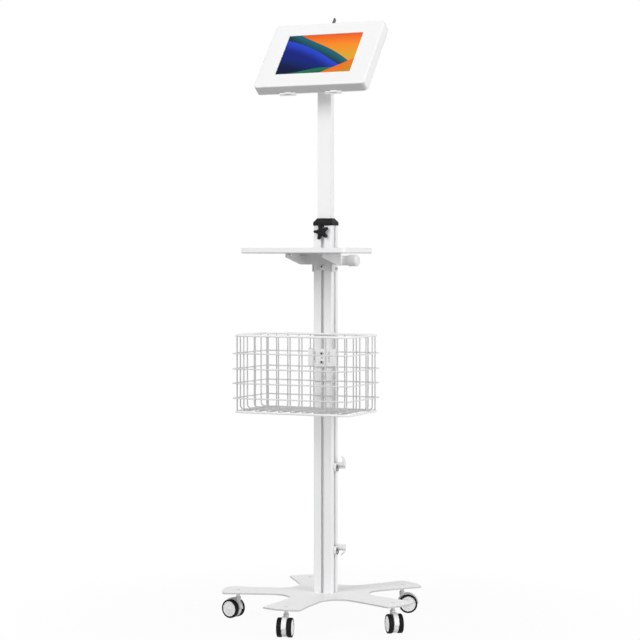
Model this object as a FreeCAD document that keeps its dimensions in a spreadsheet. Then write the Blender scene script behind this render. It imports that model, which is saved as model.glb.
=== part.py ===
import FreeCAD, Part
import operator
import os
from math import atan2, cos, hypot, pi, radians, sin, sqrt
from types import SimpleNamespace

import Sketcher

# A rolling floor stand for a tablet: a five-arm base on twin-wheel casters, a slotted column with a
# clamped sliding mast, a tray, a push handle, a wire basket, two cable hooks and a tilting enclosure.
# X is to the right, Y to the back and Z up; the origin is on the floor under the column's axis.

ARMS = ["front", "front_right", "right", "back", "left"]
ARM_STEP = 72
KNOB_LOBES = 5

# Driving sizes in millimetres and degrees
SIZES = {
    # Fits
    "running_gap": 0.05,
    "sliding_gap": 0.1,
    "screw_gap": 0.3,
    # Casters
    "stem_circle": 234,
    "trail_angle_front": 286.2,
    "trail_angle_front_right": 308.4,
    "trail_angle_right": 25.4,
    "trail_angle_back": 140,
    "trail_angle_left": 170.6,
    "caster_trail": 16,
    "wheel_radius": 25,
    "wheel_width": 13,
    "tyre_depth": 4,
    "tyre_rounding": 3,
    "wheel_side_gap": 0.8,
    "hub_face_inset": 0.8,
    "hub_rim": 2.6,
    "hub_web_inset": 2.3,
    "hub_cap_radius": 8,
    "hub_boss_radius": 7,
    "hub_end_wall": 2.3,
    "hood_width": 12,
    "hood_radius": 23,
    "fender_radius": 28,
    "swivel_boss_radius": 7,
    "swivel_boss_bottom": 46.5,
    "swivel_boss_top": 57,
    "axle_radius": 3,
    "axle_end_gap": 0.9,
    "stem_radius": 5,
    "stem_top_inset": 0.5,
    "stem_shoulder_gap": 0.3,
    "spigot_radius": 3.5,
    "spigot_length": 22.3,
    "spigot_end_gap": 0.5,
    # Base plate
    "base_underside": 71,
    "base_thickness": 4,
    "valley_reach": 114.5,
    "waist_half_width": 46,
    "tip_half_width": 52.5,
    "tip_corner_reach": 264,
    "tip_reach": 275,
    "tip_corner_radius": 8,
    "column_bolt_radius": 2.5,
    "column_bolt_head_radius": 5,
    "column_bolt_length": 24,
    # Column
    "column_width": 52,
    "column_depth": 40,
    "column_length": 970,
    "column_corner": 2,
    "cavity_width": 39.6,
    "cavity_depth": 21.6,
    "slot_opening": 9,
    "face_slot_lip": 2,
    "face_slot_width": 16,
    "face_slot_depth": 5,
    "side_slot_lip": 1.6,
    "side_slot_width": 12,
    "side_slot_depth": 3,
    "screw_port_x": 21.5,
    "screw_port_y": 15.5,
    # Collar and sleeve
    "collar_skirt": 8.4,
    "collar_overlap": 7,
    "collar_overhang": 2,
    "collar_slope": 10.6,
    "collar_corner": 4,
    "collar_top_wall": 2,
    "collar_bore_gap": 0.2,
    "sleeve_wall": 2.1,
    "sleeve_height": 6,
    # Mast
    "tube_width": 38,
    "tube_depth": 20,
    "tube_wall": 2,
    "tube_overlap": 200,
    "tube_top_drop": 13,
    "shoe_flange": 10,
    "shoe_plug": 20,
    "shoe_gap": 0.15,
    # Height clamp
    "clamp_drop": 24,
    "clamp_stud_radius": 4,
    "clamp_nut_width": 15,
    "clamp_nut_height": 12,
    "clamp_port_gap": 0.3,
    "clamp_pad_gap": 0.2,
    "clamp_pad_length": 3.7,
    "knob_radius": 22,
    "knob_rest_angle": 14,
    "knob_arm_width": 7,
    "knob_thickness": 10,
    "knob_standoff": 3,
    "knob_hub_radius": 8,
    "knob_hub_gap": 0.8,
    "knob_front_wall": 3,
    # Tray and its bracket
    "tray_width": 294,
    "tray_front": 202.5,
    "tray_back": 27,
    "tray_drop": 80,
    "tray_height": 14,
    "tray_wall": 2,
    "tray_corner": 10,
    "tray_rounding": 3,
    "bracket_sheet": 3,
    "bracket_half_width": 53,
    "bracket_reach": 131,
    "bracket_height": 28.7,
    "gusset_flat": 26,
    "gusset_tip_height": 10,
    "flange_width": 18,
    "tab_half_width": 25,
    "tab_height": 15.9,
    "tab_screw_drop": 5.5,
    "locating_hole_radius": 2,
    "locating_hole_x": 16,
    "locating_hole_drop": 7.8,
    "ear_gap": 0.3,
    "ear_sheet": 2.5,
    "ear_back": 9,
    "ear_top_drop": 10,
    "ear_height": 37.4,
    "ear_screw_rise": 8,
    "tray_screw_radius": 2,
    "tray_screw_head_radius": 3.8,
    "tray_screw_head": 2.4,
    "tray_screw_near": 45,
    "tray_screw_far": 115,
    "tray_screw_inset": 9,
    # Screws and nuts of the column's slots
    "slot_screw_radius": 3,
    "slot_screw_head_radius": 5.2,
    "slot_screw_head": 3.3,
    "slot_nut_length": 15,
    "slot_nut_gap": 0.2,
    "side_nut_length": 12,
    # Push handle
    "handle_drop": 18.3,
    "handle_reach": 80,
    "handle_grip_radius": 13.2,
    "handle_cap_radius": 15.5,
    "handle_bar_half_length": 30.7,
    "handle_cap_reach": 57.5,
    "handle_rod_radius": 6,
    "handle_rod_end_gap": 6,
    "handle_cap_rounding": 6,
    "handle_arm_half_width": 15,
    "handle_arm_half_height": 11,
    "handle_foot_half_width": 20,
    "handle_foot_half_height": 32,
    "handle_foot_sheet": 4,
    "handle_screw_offset": 22,
    # Basket
    "basket_half_width": 161,
    "basket_front": 212,
    "basket_gap": 0.3,
    "basket_corner": 20,
    "basket_bottom": 560,
    "basket_height": 195,
    "basket_wire": 3.5,
    "basket_rim_radius": 3,
    "basket_end_space": 29,
    "basket_side_first": 60.1,
    "basket_side_end_space": 35.41,
    "loop_one_rise": 34.7,
    "loop_two_rise": 72.9,
    "loop_three_rise": 109.9,
    "loop_four_rise": 149.4,
    "mount_plate_half_width": 40.5,
    "mount_plate_rise": 111.4,
    "mount_plate_height": 46.3,
    "mount_plate_sheet": 3.5,
    "mount_plate_border": 2,
    "mount_plate_slot_x": 20,
    "mount_plate_slot_width": 4,
    "mount_plate_slot_inset": 8.9,
    "mount_screw_upper_rise": 32.9,
    "mount_screw_lower_rise": 10.4,
    "mount_hole_rise": 21.4,
    # Cable hooks
    "hook_upper_height": 404.6,
    "hook_lower_height": 186.4,
    "hook_puck_radius": 11.5,
    "hook_puck_depth": 8,
    "hook_recess": 4,
    "hook_reach": 28,
    "hook_blade": 5,
    "hook_upper_low": -3.5,
    "hook_upper_high": 14,
    "hook_lower_low": -0.5,
    "hook_lower_high": 16.5,
    "hook_half_width": 8.5,
    "hook_tip_rise": 30,
    "hook_tip_drop": 12,
    # Tilting head
    "mast_rise": 405,
    "tilt_angle": 38.6,
    "tilt_bolt_radius": 4,
    "tilt_bolt_head_radius": 6.5,
    "tilt_bolt_head": 5,
    "tilt_nut_radius": 7,
    "tilt_nut_height": 5,
    "cheek_sheet": 3,
    "cheek_radius": 10,
    "cheek_drop": 65,
    "web_top_drop": 25,
    "web_gap": 0.2,
    "ear_inset": 0.4,
    "yoke_ear_sheet": 3.2,
    "yoke_ear_radius": 11,
    "yoke_plate_half": 30,
    "yoke_plate_sheet": 3,
    "yoke_plate_depth": 15.7,
    "yoke_plate_corner": 6,
    "swivel_gap": 0.3,
    "disc_radius": 43,
    "disc_sheet": 3,
    "disc_screw_circle": 36,
    "disc_screw_radius": 2,
    "disc_screw_head_radius": 4,
    "swivel_nut_height": 4,
    # Enclosure and tablet
    "case_width": 315.6,
    "case_height": 222.7,
    "case_depth": 31,
    "case_corner": 11,
    "case_rounding": 4.5,
    "back_sheet": 2.5,
    "cover_wall": 2,
    "cover_seat_gap": 0.2,
    "window_width": 212.8,
    "window_height": 138.5,
    "window_corner": 1,
    "tablet_width": 248,
    "tablet_height": 167,
    "tablet_depth": 7,
    "tablet_corner": 8,
    "screen_sheet": 0.8,
    "screen_border": 1,
    "screen_gap": 0.3,
    "pad_size": 24,
    "pad_inset": 4,
    # Hinge of the enclosure
    "hinge_tab_x": 65,
    "hinge_tab_half_width": 23,
    "hinge_tab_drop": 6.35,
    "knuckle_radius": 2.3,
    "knuckle_half_length": 9.6,
    "knuckle_end_gap": 0.4,
    "knuckle_drop": 2.85,
    "hinge_pin_radius": 1,
    # Lock of the enclosure
    "lock_setback": 15,
    "barrel_radius": 8,
    "barrel_flange_radius": 10,
    "barrel_flange": 1.5,
    "barrel_length": 16.3,
    "core_radius": 5.5,
    "cam_sheet": 2,
    "cam_half_width": 4,
    "cam_length": 12,
    "catch_near": 8.5,
    "catch_far": 20,
    "catch_sheet": 2,
    "catch_gap": 2,
    "catch_lip_height": 8,
    "key_sheet": 2.2,
    "key_blade_width": 6,
    "key_blade_length": 8,
    "key_neck": 2.5,
    "key_bow_width": 11,
    "key_bow_height": 25,
    "key_bow_corner": 4,
    "key_hole_radius": 2,
    "key_hole_wall": 3,
}

X_AXIS = FreeCAD.Vector(1, 0, 0)
Y_AXIS = FreeCAD.Vector(0, 1, 0)
Z_AXIS = FreeCAD.Vector(0, 0, 1)

NODES = []

doc = FreeCAD.newDocument("rolling_floor_stand")
sheet = doc.addObject("Spreadsheet::Sheet", "Sizes")
for row, (alias, value) in enumerate(SIZES.items(), 1):
    sheet.set("A%d" % row, alias)
    sheet.set("B%d" % row, repr(value))
    sheet.setAlias("B%d" % row, alias)
doc.recompute()


# A size is a number together with the sheet expression that it comes from, so that the same
# arithmetic draws a shape and binds it to the sheet.
class Size:
    def __init__(self, number, text):
        self.number = number
        self.text = text

    def __add__(self, other):
        return combine(self, "+", other)

    def __radd__(self, other):
        return combine(other, "+", self)

    def __sub__(self, other):
        return combine(self, "-", other)

    def __rsub__(self, other):
        return combine(other, "-", self)

    def __mul__(self, other):
        return combine(self, "*", other)

    def __rmul__(self, other):
        return combine(other, "*", self)

    def __truediv__(self, other):
        return combine(self, "/", other)

    def __neg__(self):
        return combine(0, "-", self)


OPERATIONS = {"+": operator.add, "-": operator.sub, "*": operator.mul, "/": operator.truediv}


def as_size(value):
    if isinstance(value, Size):
        return value
    return Size(value, "(%r)" % value)


def combine(left, sign, right):
    left = as_size(left)
    right = as_size(right)
    number = OPERATIONS[sign](left.number, right.number)
    return Size(number, "(%s %s %s)" % (left.text, sign, right.text))


def cosine(angle):
    angle = as_size(angle)
    return Size(cos(radians(angle.number)), "cos(%s)" % angle.text)


def sine(angle):
    angle = as_size(angle)
    return Size(sin(radians(angle.number)), "sin(%s)" % angle.text)


s = SimpleNamespace(**{alias: Size(getattr(sheet, alias), "Sizes." + alias) for alias in SIZES})

# Places that follow from other sizes: what the column carries hangs on its top end
base_top = s.base_underside + s.base_thickness
column_top = base_top + s.column_length
clamp_height = column_top - s.clamp_drop
tray_floor = column_top - s.tray_drop
handle_height = tray_floor - s.handle_drop
tube_bottom = column_top - s.tube_overlap
pivot_height = column_top + s.mast_rise
tube_top = pivot_height - s.tube_top_drop
cheek_bottom = pivot_height - s.cheek_drop
web_top = pivot_height - s.web_top_drop
basket_top = s.basket_bottom + s.basket_height
basket_back = s.column_depth / 2 + s.basket_gap + s.basket_rim_radius
basket_pitch = (s.basket_half_width - s.basket_end_space) / 4
basket_side_pitch = (s.basket_front - s.basket_side_first - s.basket_side_end_space) / 3
mount_plate_bottom = s.basket_bottom + s.mount_plate_rise
mount_plate_top = mount_plate_bottom + s.mount_plate_height


# Binding and placing

def bind(obj, path, value):
    obj.setExpression(path, as_size(value).text)


def place(obj, x=0, y=0, z=0, axis=None, angle=0):
    if axis is not None:
        obj.Placement = FreeCAD.Placement(FreeCAD.Vector(), FreeCAD.Rotation(axis, 1))
        bind(obj, "Placement.Rotation.Angle", angle)
    bind(obj, "Placement.Base.x", x)
    bind(obj, "Placement.Base.y", y)
    bind(obj, "Placement.Base.z", z)


def keep(obj):
    NODES.append(obj)
    return obj


# Primitives and booleans

def box(name, x, y, z):
    block = doc.addObject("Part::Box", name)
    bind(block, "Length", as_size(x[1]) - x[0])
    bind(block, "Width", as_size(y[1]) - y[0])
    bind(block, "Height", as_size(z[1]) - z[0])
    place(block, x[0], y[0], z[0])
    return block


def turned(name, kind, axis, low, high, at):
    # A primitive that stands along an axis from low to high, with at as its other two coordinates
    piece = doc.addObject(kind, name)
    bind(piece, "Height", as_size(high) - low)
    if axis == "x":
        piece.Placement = FreeCAD.Placement(FreeCAD.Vector(), FreeCAD.Rotation(Y_AXIS, 90))
        place(piece, low, at[0], at[1])
    elif axis == "y":
        piece.Placement = FreeCAD.Placement(FreeCAD.Vector(), FreeCAD.Rotation(X_AXIS, -90))
        place(piece, at[0], low, at[1])
    else:
        place(piece, at[0], at[1], low)
    return piece


def cylinder(name, axis, radius, low, high, at=(0, 0)):
    piece = turned(name, "Part::Cylinder", axis, low, high, at)
    bind(piece, "Radius", radius)
    return piece


def cone(name, axis, low_radius, high_radius, low, high, at=(0, 0)):
    piece = turned(name, "Part::Cone", axis, low, high, at)
    bind(piece, "Radius1", low_radius)
    bind(piece, "Radius2", high_radius)
    return piece


def hexagon(name, axis, radius, low, high, at=(0, 0)):
    piece = turned(name, "Part::Prism", axis, low, high, at)
    piece.Polygon = 6
    bind(piece, "Circumradius", radius)
    return piece


def fuse(name, *pieces):
    joined = doc.addObject("Part::MultiFuse", name)
    joined.Shapes = list(pieces)
    joined.Refine = True
    return joined


def cut(name, base, *tools):
    trimmed = doc.addObject("Part::Cut", name)
    trimmed.Base = base
    trimmed.Tool = tools[0] if len(tools) == 1 else fuse(name + "_tools", *tools)
    return trimmed


def common(name, first, second):
    shared = doc.addObject("Part::Common", name)
    shared.Base = first
    shared.Tool = second
    return shared


def group(name, *pieces):
    together = doc.addObject("Part::Compound", name)
    together.Links = list(pieces)
    return together


def set_down(name, piece, x=0, y=0, z=0, axis=Z_AXIS, angle=0):
    copy = group(name, piece)
    place(copy, x, y, z, axis, angle)
    return copy


# Bodies drawn from sketches

def origin_feature(body, role):
    return [feature for feature in body.Origin.OriginFeatures if feature.Role == role][0]


def make_body(name):
    return doc.addObject("PartDesign::Body", name)


def add_sketch(body, name, role, offset=0, x=0, y=0):
    sketch = body.newObject("Sketcher::SketchObject", name)
    sketch.AttachmentSupport = [(origin_feature(body, role), "")]
    sketch.MapMode = "FlatFace"
    bind(sketch, "AttachmentOffset.Base.x", x)
    bind(sketch, "AttachmentOffset.Base.y", y)
    bind(sketch, "AttachmentOffset.Base.z", offset)
    return sketch


def constrain(sketch, kind, *references, value=None):
    if value is None:
        sketch.addConstraint(Sketcher.Constraint(kind, *references))
        return
    value = as_size(value)
    index = sketch.addConstraint(Sketcher.Constraint(kind, *references, float(value.number)))
    sketch.setExpression("Constraints[%d]" % index, value.text)


def arc_through(start, end, radius):
    # A positive radius runs counterclockwise from start to end, a negative one clockwise; both turn
    # by at most half a turn
    chord = end.sub(start)
    middle = start.add(end).multiply(0.5)
    size = abs(radius)
    rise = sqrt(max(size * size - chord.Length ** 2 / 4, 0))
    side = FreeCAD.Vector(-chord.y, chord.x, 0).normalize()
    if radius < 0:
        side = side.multiply(-1)
    centre = middle.add(side.multiply(rise))
    first = start if radius > 0 else end
    last = end if radius > 0 else start
    first_angle = atan2(first.y - centre.y, first.x - centre.x)
    last_angle = atan2(last.y - centre.y, last.x - centre.x)
    if last_angle <= first_angle:
        last_angle += 2 * pi
    return Part.ArcOfCircle(Part.Circle(centre, Z_AXIS, size), first_angle, last_angle)


def draw_outline(sketch, corners):
    # Each corner is (x, y), or (x, y, radius) where an arc starts there
    corners = [[as_size(value) for value in corner] for corner in corners]
    points = [FreeCAD.Vector(corner[0].number, corner[1].number, 0) for corner in corners]
    starts = []
    ends = []
    for index, corner in enumerate(corners):
        start = points[index]
        end = points[(index + 1) % len(points)]
        clockwise = len(corner) == 3 and corner[2].number < 0
        if len(corner) == 3:
            edge = sketch.addGeometry(arc_through(start, end, corner[2].number))
        else:
            edge = sketch.addGeometry(Part.LineSegment(start, end))
        starts.append((edge, 2 if clockwise else 1))
        ends.append((edge, 1 if clockwise else 2))
    for index, corner in enumerate(corners):
        constrain(sketch, "Coincident", *ends[index - 1], *starts[index])
        constrain(sketch, "DistanceX", -1, 1, *starts[index], value=corner[0])
        constrain(sketch, "DistanceY", -1, 1, *starts[index], value=corner[1])
        if len(corner) == 3:
            size = corner[2] if corner[2].number > 0 else -corner[2]
            constrain(sketch, "Radius", starts[index][0], value=size)


def draw_rectangle(sketch, x, y, radius=None):
    if radius is None:
        draw_outline(sketch, [(x[0], y[0]), (x[1], y[0]), (x[1], y[1]), (x[0], y[1])])
        return
    inner_x = (x[0] + radius, x[1] - radius)
    inner_y = (y[0] + radius, y[1] - radius)
    draw_outline(sketch, [
        (inner_x[0], y[0]), (inner_x[1], y[0], radius),
        (x[1], inner_y[0]), (x[1], inner_y[1], radius),
        (inner_x[1], y[1]), (inner_x[0], y[1], radius),
        (x[0], inner_y[1]), (x[0], inner_y[0], radius),
    ])


def draw_circle(sketch, radius):
    edge = sketch.addGeometry(Part.Circle(FreeCAD.Vector(), Z_AXIS, as_size(radius).number))
    constrain(sketch, "Coincident", edge, 3, -1, 1)
    constrain(sketch, "Radius", edge, value=radius)


def pad(body, sketch, length, midplane=False):
    raised = body.newObject("PartDesign::Pad", sketch.Name + "_pad")
    raised.Profile = sketch
    bind(raised, "Length", length)
    if midplane:
        raised.SideType = "Symmetric"
    body.Tip = raised
    return raised


def pocket(body, sketch, length, forward=False):
    # A pocket sinks against the sketch's normal, or along it when forward is true
    doc.recompute()
    full = body.Shape.Volume
    sunk = body.newObject("PartDesign::Pocket", sketch.Name + "_pocket")
    sunk.Profile = sketch
    sunk.Reversed = forward
    bind(sunk, "Length", length)
    body.Tip = sunk
    doc.recompute()
    if body.Shape.Volume >= full:
        raise RuntimeError("%s cuts nothing" % sunk.Name)
    return sunk


def revolve(body, sketch):
    spun = body.newObject("PartDesign::Revolution", sketch.Name + "_turned")
    spun.Profile = sketch
    spun.ReferenceAxis = (sketch, ["V_Axis"])
    spun.Angle = 360
    body.Tip = spun
    return spun


def repeat_around(body, feature, role, count):
    pattern = body.newObject("PartDesign::PolarPattern", feature.Name + "_pattern")
    pattern.Originals = [feature]
    pattern.Axis = (origin_feature(body, role), [""])
    pattern.Angle = 360
    pattern.Occurrences = count
    body.Tip = pattern
    doc.recompute()
    return pattern


def round_edges(body, radius, wanted):
    doc.recompute()
    base = body.Tip
    edges = ["Edge%d" % (index + 1) for index, edge in enumerate(base.Shape.Edges) if wanted(edge)]
    rounding = body.newObject("PartDesign::Fillet", base.Name + "_fillet")
    rounding.Base = (base, edges)
    bind(rounding, "Radius", radius)
    body.Tip = rounding
    doc.recompute()
    return rounding


def lies_at(edge, axis, level):
    # True where the whole edge lies in the plane at that level of the axis
    box = edge.BoundBox
    low = getattr(box, axis + "Min")
    high = getattr(box, axis + "Max")
    return abs(low - level.number) < 0.001 and abs(high - level.number) < 0.001


# Casters

arm_angles = {arm: ARM_STEP * index - 90 for index, arm in enumerate(ARMS)}
trails = {
    "front": s.trail_angle_front,
    "front_right": s.trail_angle_front_right,
    "right": s.trail_angle_right,
    "back": s.trail_angle_back,
    "left": s.trail_angle_left,
}


def at_arm(name, piece, arm, trail=0):
    along = s.stem_circle * cosine(arm_angles[arm])
    across = s.stem_circle * sine(arm_angles[arm])
    return set_down(name, piece, along, across, 0, Z_AXIS, trail)


def at_all_arms(name, piece):
    return group(name, *[at_arm("%s_%s" % (name, arm), piece, arm) for arm in ARMS])


hood_half = s.hood_width / 2
wheel_start = hood_half + s.wheel_side_gap
wheel_spin = (s.caster_trail, s.wheel_radius)
axle_end = wheel_start + s.wheel_width - s.hub_end_wall - s.axle_end_gap
spigot_bottom = s.swivel_boss_top + s.stem_shoulder_gap - s.spigot_length


def make_caster_body():
    disc = cylinder("hood_disc", "y", s.hood_radius, -hood_half, hood_half, wheel_spin)
    round_fender = cylinder("fender_round", "y", s.fender_radius, -hood_half, hood_half, wheel_spin)
    upper_half = box("fender_limit",
                     (s.caster_trail - s.fender_radius, s.caster_trail + s.fender_radius),
                     (-hood_half, hood_half),
                     (s.wheel_radius, s.wheel_radius + s.fender_radius))
    fender = common("fender", round_fender, upper_half)
    boss = cylinder("swivel_boss", "z", s.swivel_boss_radius, s.swivel_boss_bottom, s.swivel_boss_top)
    solid = fuse("hood_solid", disc, fender, boss)
    spigot_bore = cylinder("spigot_bore", "z", s.spigot_radius + s.running_gap,
                           spigot_bottom - s.spigot_end_gap, s.swivel_boss_top + 1)
    axle_bore = cylinder("axle_bore", "y", s.axle_radius + s.running_gap,
                         -s.hood_width, s.hood_width, wheel_spin)
    return cut("hood", solid, spigot_bore, axle_bore)


def make_tyre():
    body = make_body("tyre")
    sketch = add_sketch(body, "tyre_section", "XZ_Plane")
    seat = s.wheel_radius - s.tyre_depth
    draw_rectangle(sketch, (seat, s.wheel_radius), (as_size(0), s.wheel_width))
    revolve(body, sketch)
    round_edges(body, s.tyre_rounding,
                lambda edge: edge.Curve.TypeId == "Part::GeomCircle"
                and abs(edge.Curve.Radius - s.wheel_radius.number) < 0.001)
    return body


def make_hub():
    body = make_body("hub")
    sketch = add_sketch(body, "hub_section", "XZ_Plane")
    rim = s.wheel_radius - s.tyre_depth - s.running_gap
    rim_inside = rim - s.hub_rim
    bore = s.axle_radius + s.running_gap
    face = s.wheel_width - s.hub_face_inset
    dish = s.wheel_width - s.hub_web_inset
    draw_outline(sketch, [
        (bore, 0), (s.hub_boss_radius, 0),
        (s.hub_boss_radius, s.hub_web_inset), (rim_inside, s.hub_web_inset),
        (rim_inside, s.hub_face_inset), (rim, s.hub_face_inset),
        (rim, face), (rim_inside, face),
        (rim_inside - s.hub_rim, dish), (s.hub_cap_radius, dish),
        (s.hub_boss_radius, s.wheel_width), (0, s.wheel_width),
        (0, s.wheel_width - s.hub_end_wall), (bore, s.wheel_width - s.hub_end_wall),
    ])
    revolve(body, sketch)
    return body


def make_stem():
    shoulder = s.swivel_boss_top + s.stem_shoulder_gap
    top = s.base_underside + s.base_thickness - s.stem_top_inset
    shank = cylinder("stem_shank", "z", s.stem_radius, shoulder, top)
    spigot = cylinder("stem_spigot", "z", s.spigot_radius, spigot_bottom, shoulder)
    return fuse("stem", shank, spigot)


def make_casters():
    hood = make_caster_body()
    axle = cylinder("axle", "y", s.axle_radius, -axle_end, axle_end, wheel_spin)
    wheel = group("wheel", make_tyre(), make_hub())
    left = set_down("wheel_left", wheel, s.caster_trail, wheel_start, s.wheel_radius, -X_AXIS, 90)
    right = set_down("wheel_right", wheel, s.caster_trail, -wheel_start, s.wheel_radius, X_AXIS, 90)
    for arm in ARMS:
        keep(at_arm("caster_body_" + arm, hood, arm, trails[arm]))
        keep(at_arm("caster_axle_" + arm, axle, arm, trails[arm]))
        keep(at_arm("wheel_left_" + arm, left, arm, trails[arm]))
        keep(at_arm("wheel_right_" + arm, right, arm, trails[arm]))
    keep(at_all_arms("caster_stems", make_stem()))


# Base plate and the bolts that hold the column on it

def at_column_corners(name, piece):
    copies = []
    for side, x in (("left", -s.screw_port_x), ("right", s.screw_port_x)):
        for end, y in (("front", -s.screw_port_y), ("back", s.screw_port_y)):
            copies.append(set_down("%s_%s_%s" % (name, side, end), piece, x, y))
    return group(name, *copies)


def column_bolt(name, gap, top):
    # Flat head from below, as high as it is wider than its shank
    radius = s.column_bolt_radius + gap
    head_radius = s.column_bolt_head_radius + gap
    neck = s.base_underside + s.column_bolt_head_radius - s.column_bolt_radius
    head = cone(name + "_head", "z", head_radius, radius, s.base_underside, neck)
    shank = cylinder(name + "_shank", "z", radius, s.base_underside, top)
    return fuse(name, head, shank)


def make_base():
    body = make_body("base_star")
    sketch = add_sketch(body, "arm_outline", "XY_Plane", s.base_underside)
    half_step = ARM_STEP / 2
    valley_radius = ((s.valley_reach * sine(half_step) - s.waist_half_width)
                     / (1 - sine(half_step)))
    waist_x = (s.valley_reach + valley_radius) * cosine(half_step)
    valley = (s.valley_reach * cosine(half_step), s.valley_reach * sine(half_step))
    flare_run = s.tip_corner_reach - waist_x
    flare_rise = s.tip_half_width - s.waist_half_width
    flare_radius = (flare_run * flare_run + flare_rise * flare_rise) / (2 * flare_rise)
    tip_rise = s.tip_reach - s.tip_corner_reach
    tip_radius = (s.tip_half_width * s.tip_half_width + tip_rise * tip_rise) / (2 * tip_rise)
    draw_outline(sketch, [
        (0, 0),
        (valley[0], -valley[1], -valley_radius),
        (waist_x, -s.waist_half_width, -flare_radius),
        (s.tip_corner_reach, -s.tip_half_width, tip_radius),
        (s.tip_corner_reach, s.tip_half_width, -flare_radius),
        (waist_x, s.waist_half_width, -valley_radius),
        (valley[0], valley[1]),
    ])
    arm = pad(body, sketch, s.base_thickness)
    repeat_around(body, arm, "Z_Axis", len(ARMS))
    corner_distance = hypot(s.tip_corner_reach.number, s.tip_half_width.number)
    round_edges(body, s.tip_corner_radius,
                lambda edge: edge.BoundBox.ZLength > s.base_thickness.number / 2
                and edge.BoundBox.XLength + edge.BoundBox.YLength < 0.001
                and abs(hypot(edge.CenterOfMass.x, edge.CenterOfMass.y) - corner_distance) < 0.01)
    # One arm points to the front
    place(body, axis=Z_AXIS, angle=-ARM_STEP / 4)
    stem_hole = cylinder("stem_hole", "z", s.stem_radius + s.running_gap, s.base_underside, base_top)
    bolt_hole = column_bolt("column_bolt_hole", s.sliding_gap, base_top)
    keep(cut("base_plate", body, at_all_arms("stem_holes", stem_hole),
             at_column_corners("column_bolt_holes", bolt_hole)))
    bolt = column_bolt("column_bolt", 0, s.base_underside + s.column_bolt_length)
    keep(at_column_corners("column_bolts", bolt))


# Column

column_half_width = s.column_width / 2
column_half_depth = s.column_depth / 2
cavity_half_depth = s.cavity_depth / 2
cavity_half_width = s.cavity_width / 2
slot_floor = column_half_depth - s.face_slot_lip - s.face_slot_depth


def make_column():
    body = make_body("column_profile")
    sketch = add_sketch(body, "column_outline", "XY_Plane", base_top)
    draw_rectangle(sketch, (-column_half_width, column_half_width),
                   (-column_half_depth, column_half_depth), s.column_corner)
    pad(body, sketch, s.column_length)
    cavity = add_sketch(body, "column_cavity", "XY_Plane", column_top)
    draw_rectangle(cavity, (-cavity_half_width, cavity_half_width),
                   (-cavity_half_depth, cavity_half_depth))
    pocket(body, cavity, s.column_length)
    half_opening = s.slot_opening / 2
    face_half = s.face_slot_width / 2
    side_half = s.side_slot_width / 2
    face_lip = column_half_depth - s.face_slot_lip
    side_lip = column_half_width - s.side_slot_lip
    side_floor = side_lip - s.side_slot_depth
    for sign, face, side in ((-1, "front", "left"), (1, "back", "right")):
        slot = add_sketch(body, "slot_" + face, "XY_Plane", column_top)
        draw_outline(slot, [
            (-half_opening, sign * column_half_depth), (-half_opening, sign * face_lip),
            (-face_half, sign * face_lip), (-face_half, sign * slot_floor),
            (face_half, sign * slot_floor), (face_half, sign * face_lip),
            (half_opening, sign * face_lip), (half_opening, sign * column_half_depth),
        ])
        pocket(body, slot, s.column_length)
        slot = add_sketch(body, "slot_" + side, "XY_Plane", column_top)
        draw_outline(slot, [
            (sign * column_half_width, -half_opening), (sign * side_lip, -half_opening),
            (sign * side_lip, -side_half), (sign * side_floor, -side_half),
            (sign * side_floor, side_half), (sign * side_lip, side_half),
            (sign * side_lip, half_opening), (sign * column_half_width, half_opening),
        ])
        pocket(body, slot, s.column_length)
    port = cylinder("screw_port", "z", s.column_bolt_radius + s.sliding_gap, base_top, column_top)
    clamp_port = cylinder("clamp_port", "y", s.clamp_stud_radius + s.clamp_port_gap,
                          -slot_floor - 1, -cavity_half_depth + 1, (0, clamp_height))
    keep(cut("column", body, at_column_corners("screw_ports", port), clamp_port))


# Collar and the sleeve that guides the mast

tube_half_width = s.tube_width / 2
tube_half_depth = s.tube_depth / 2


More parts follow.
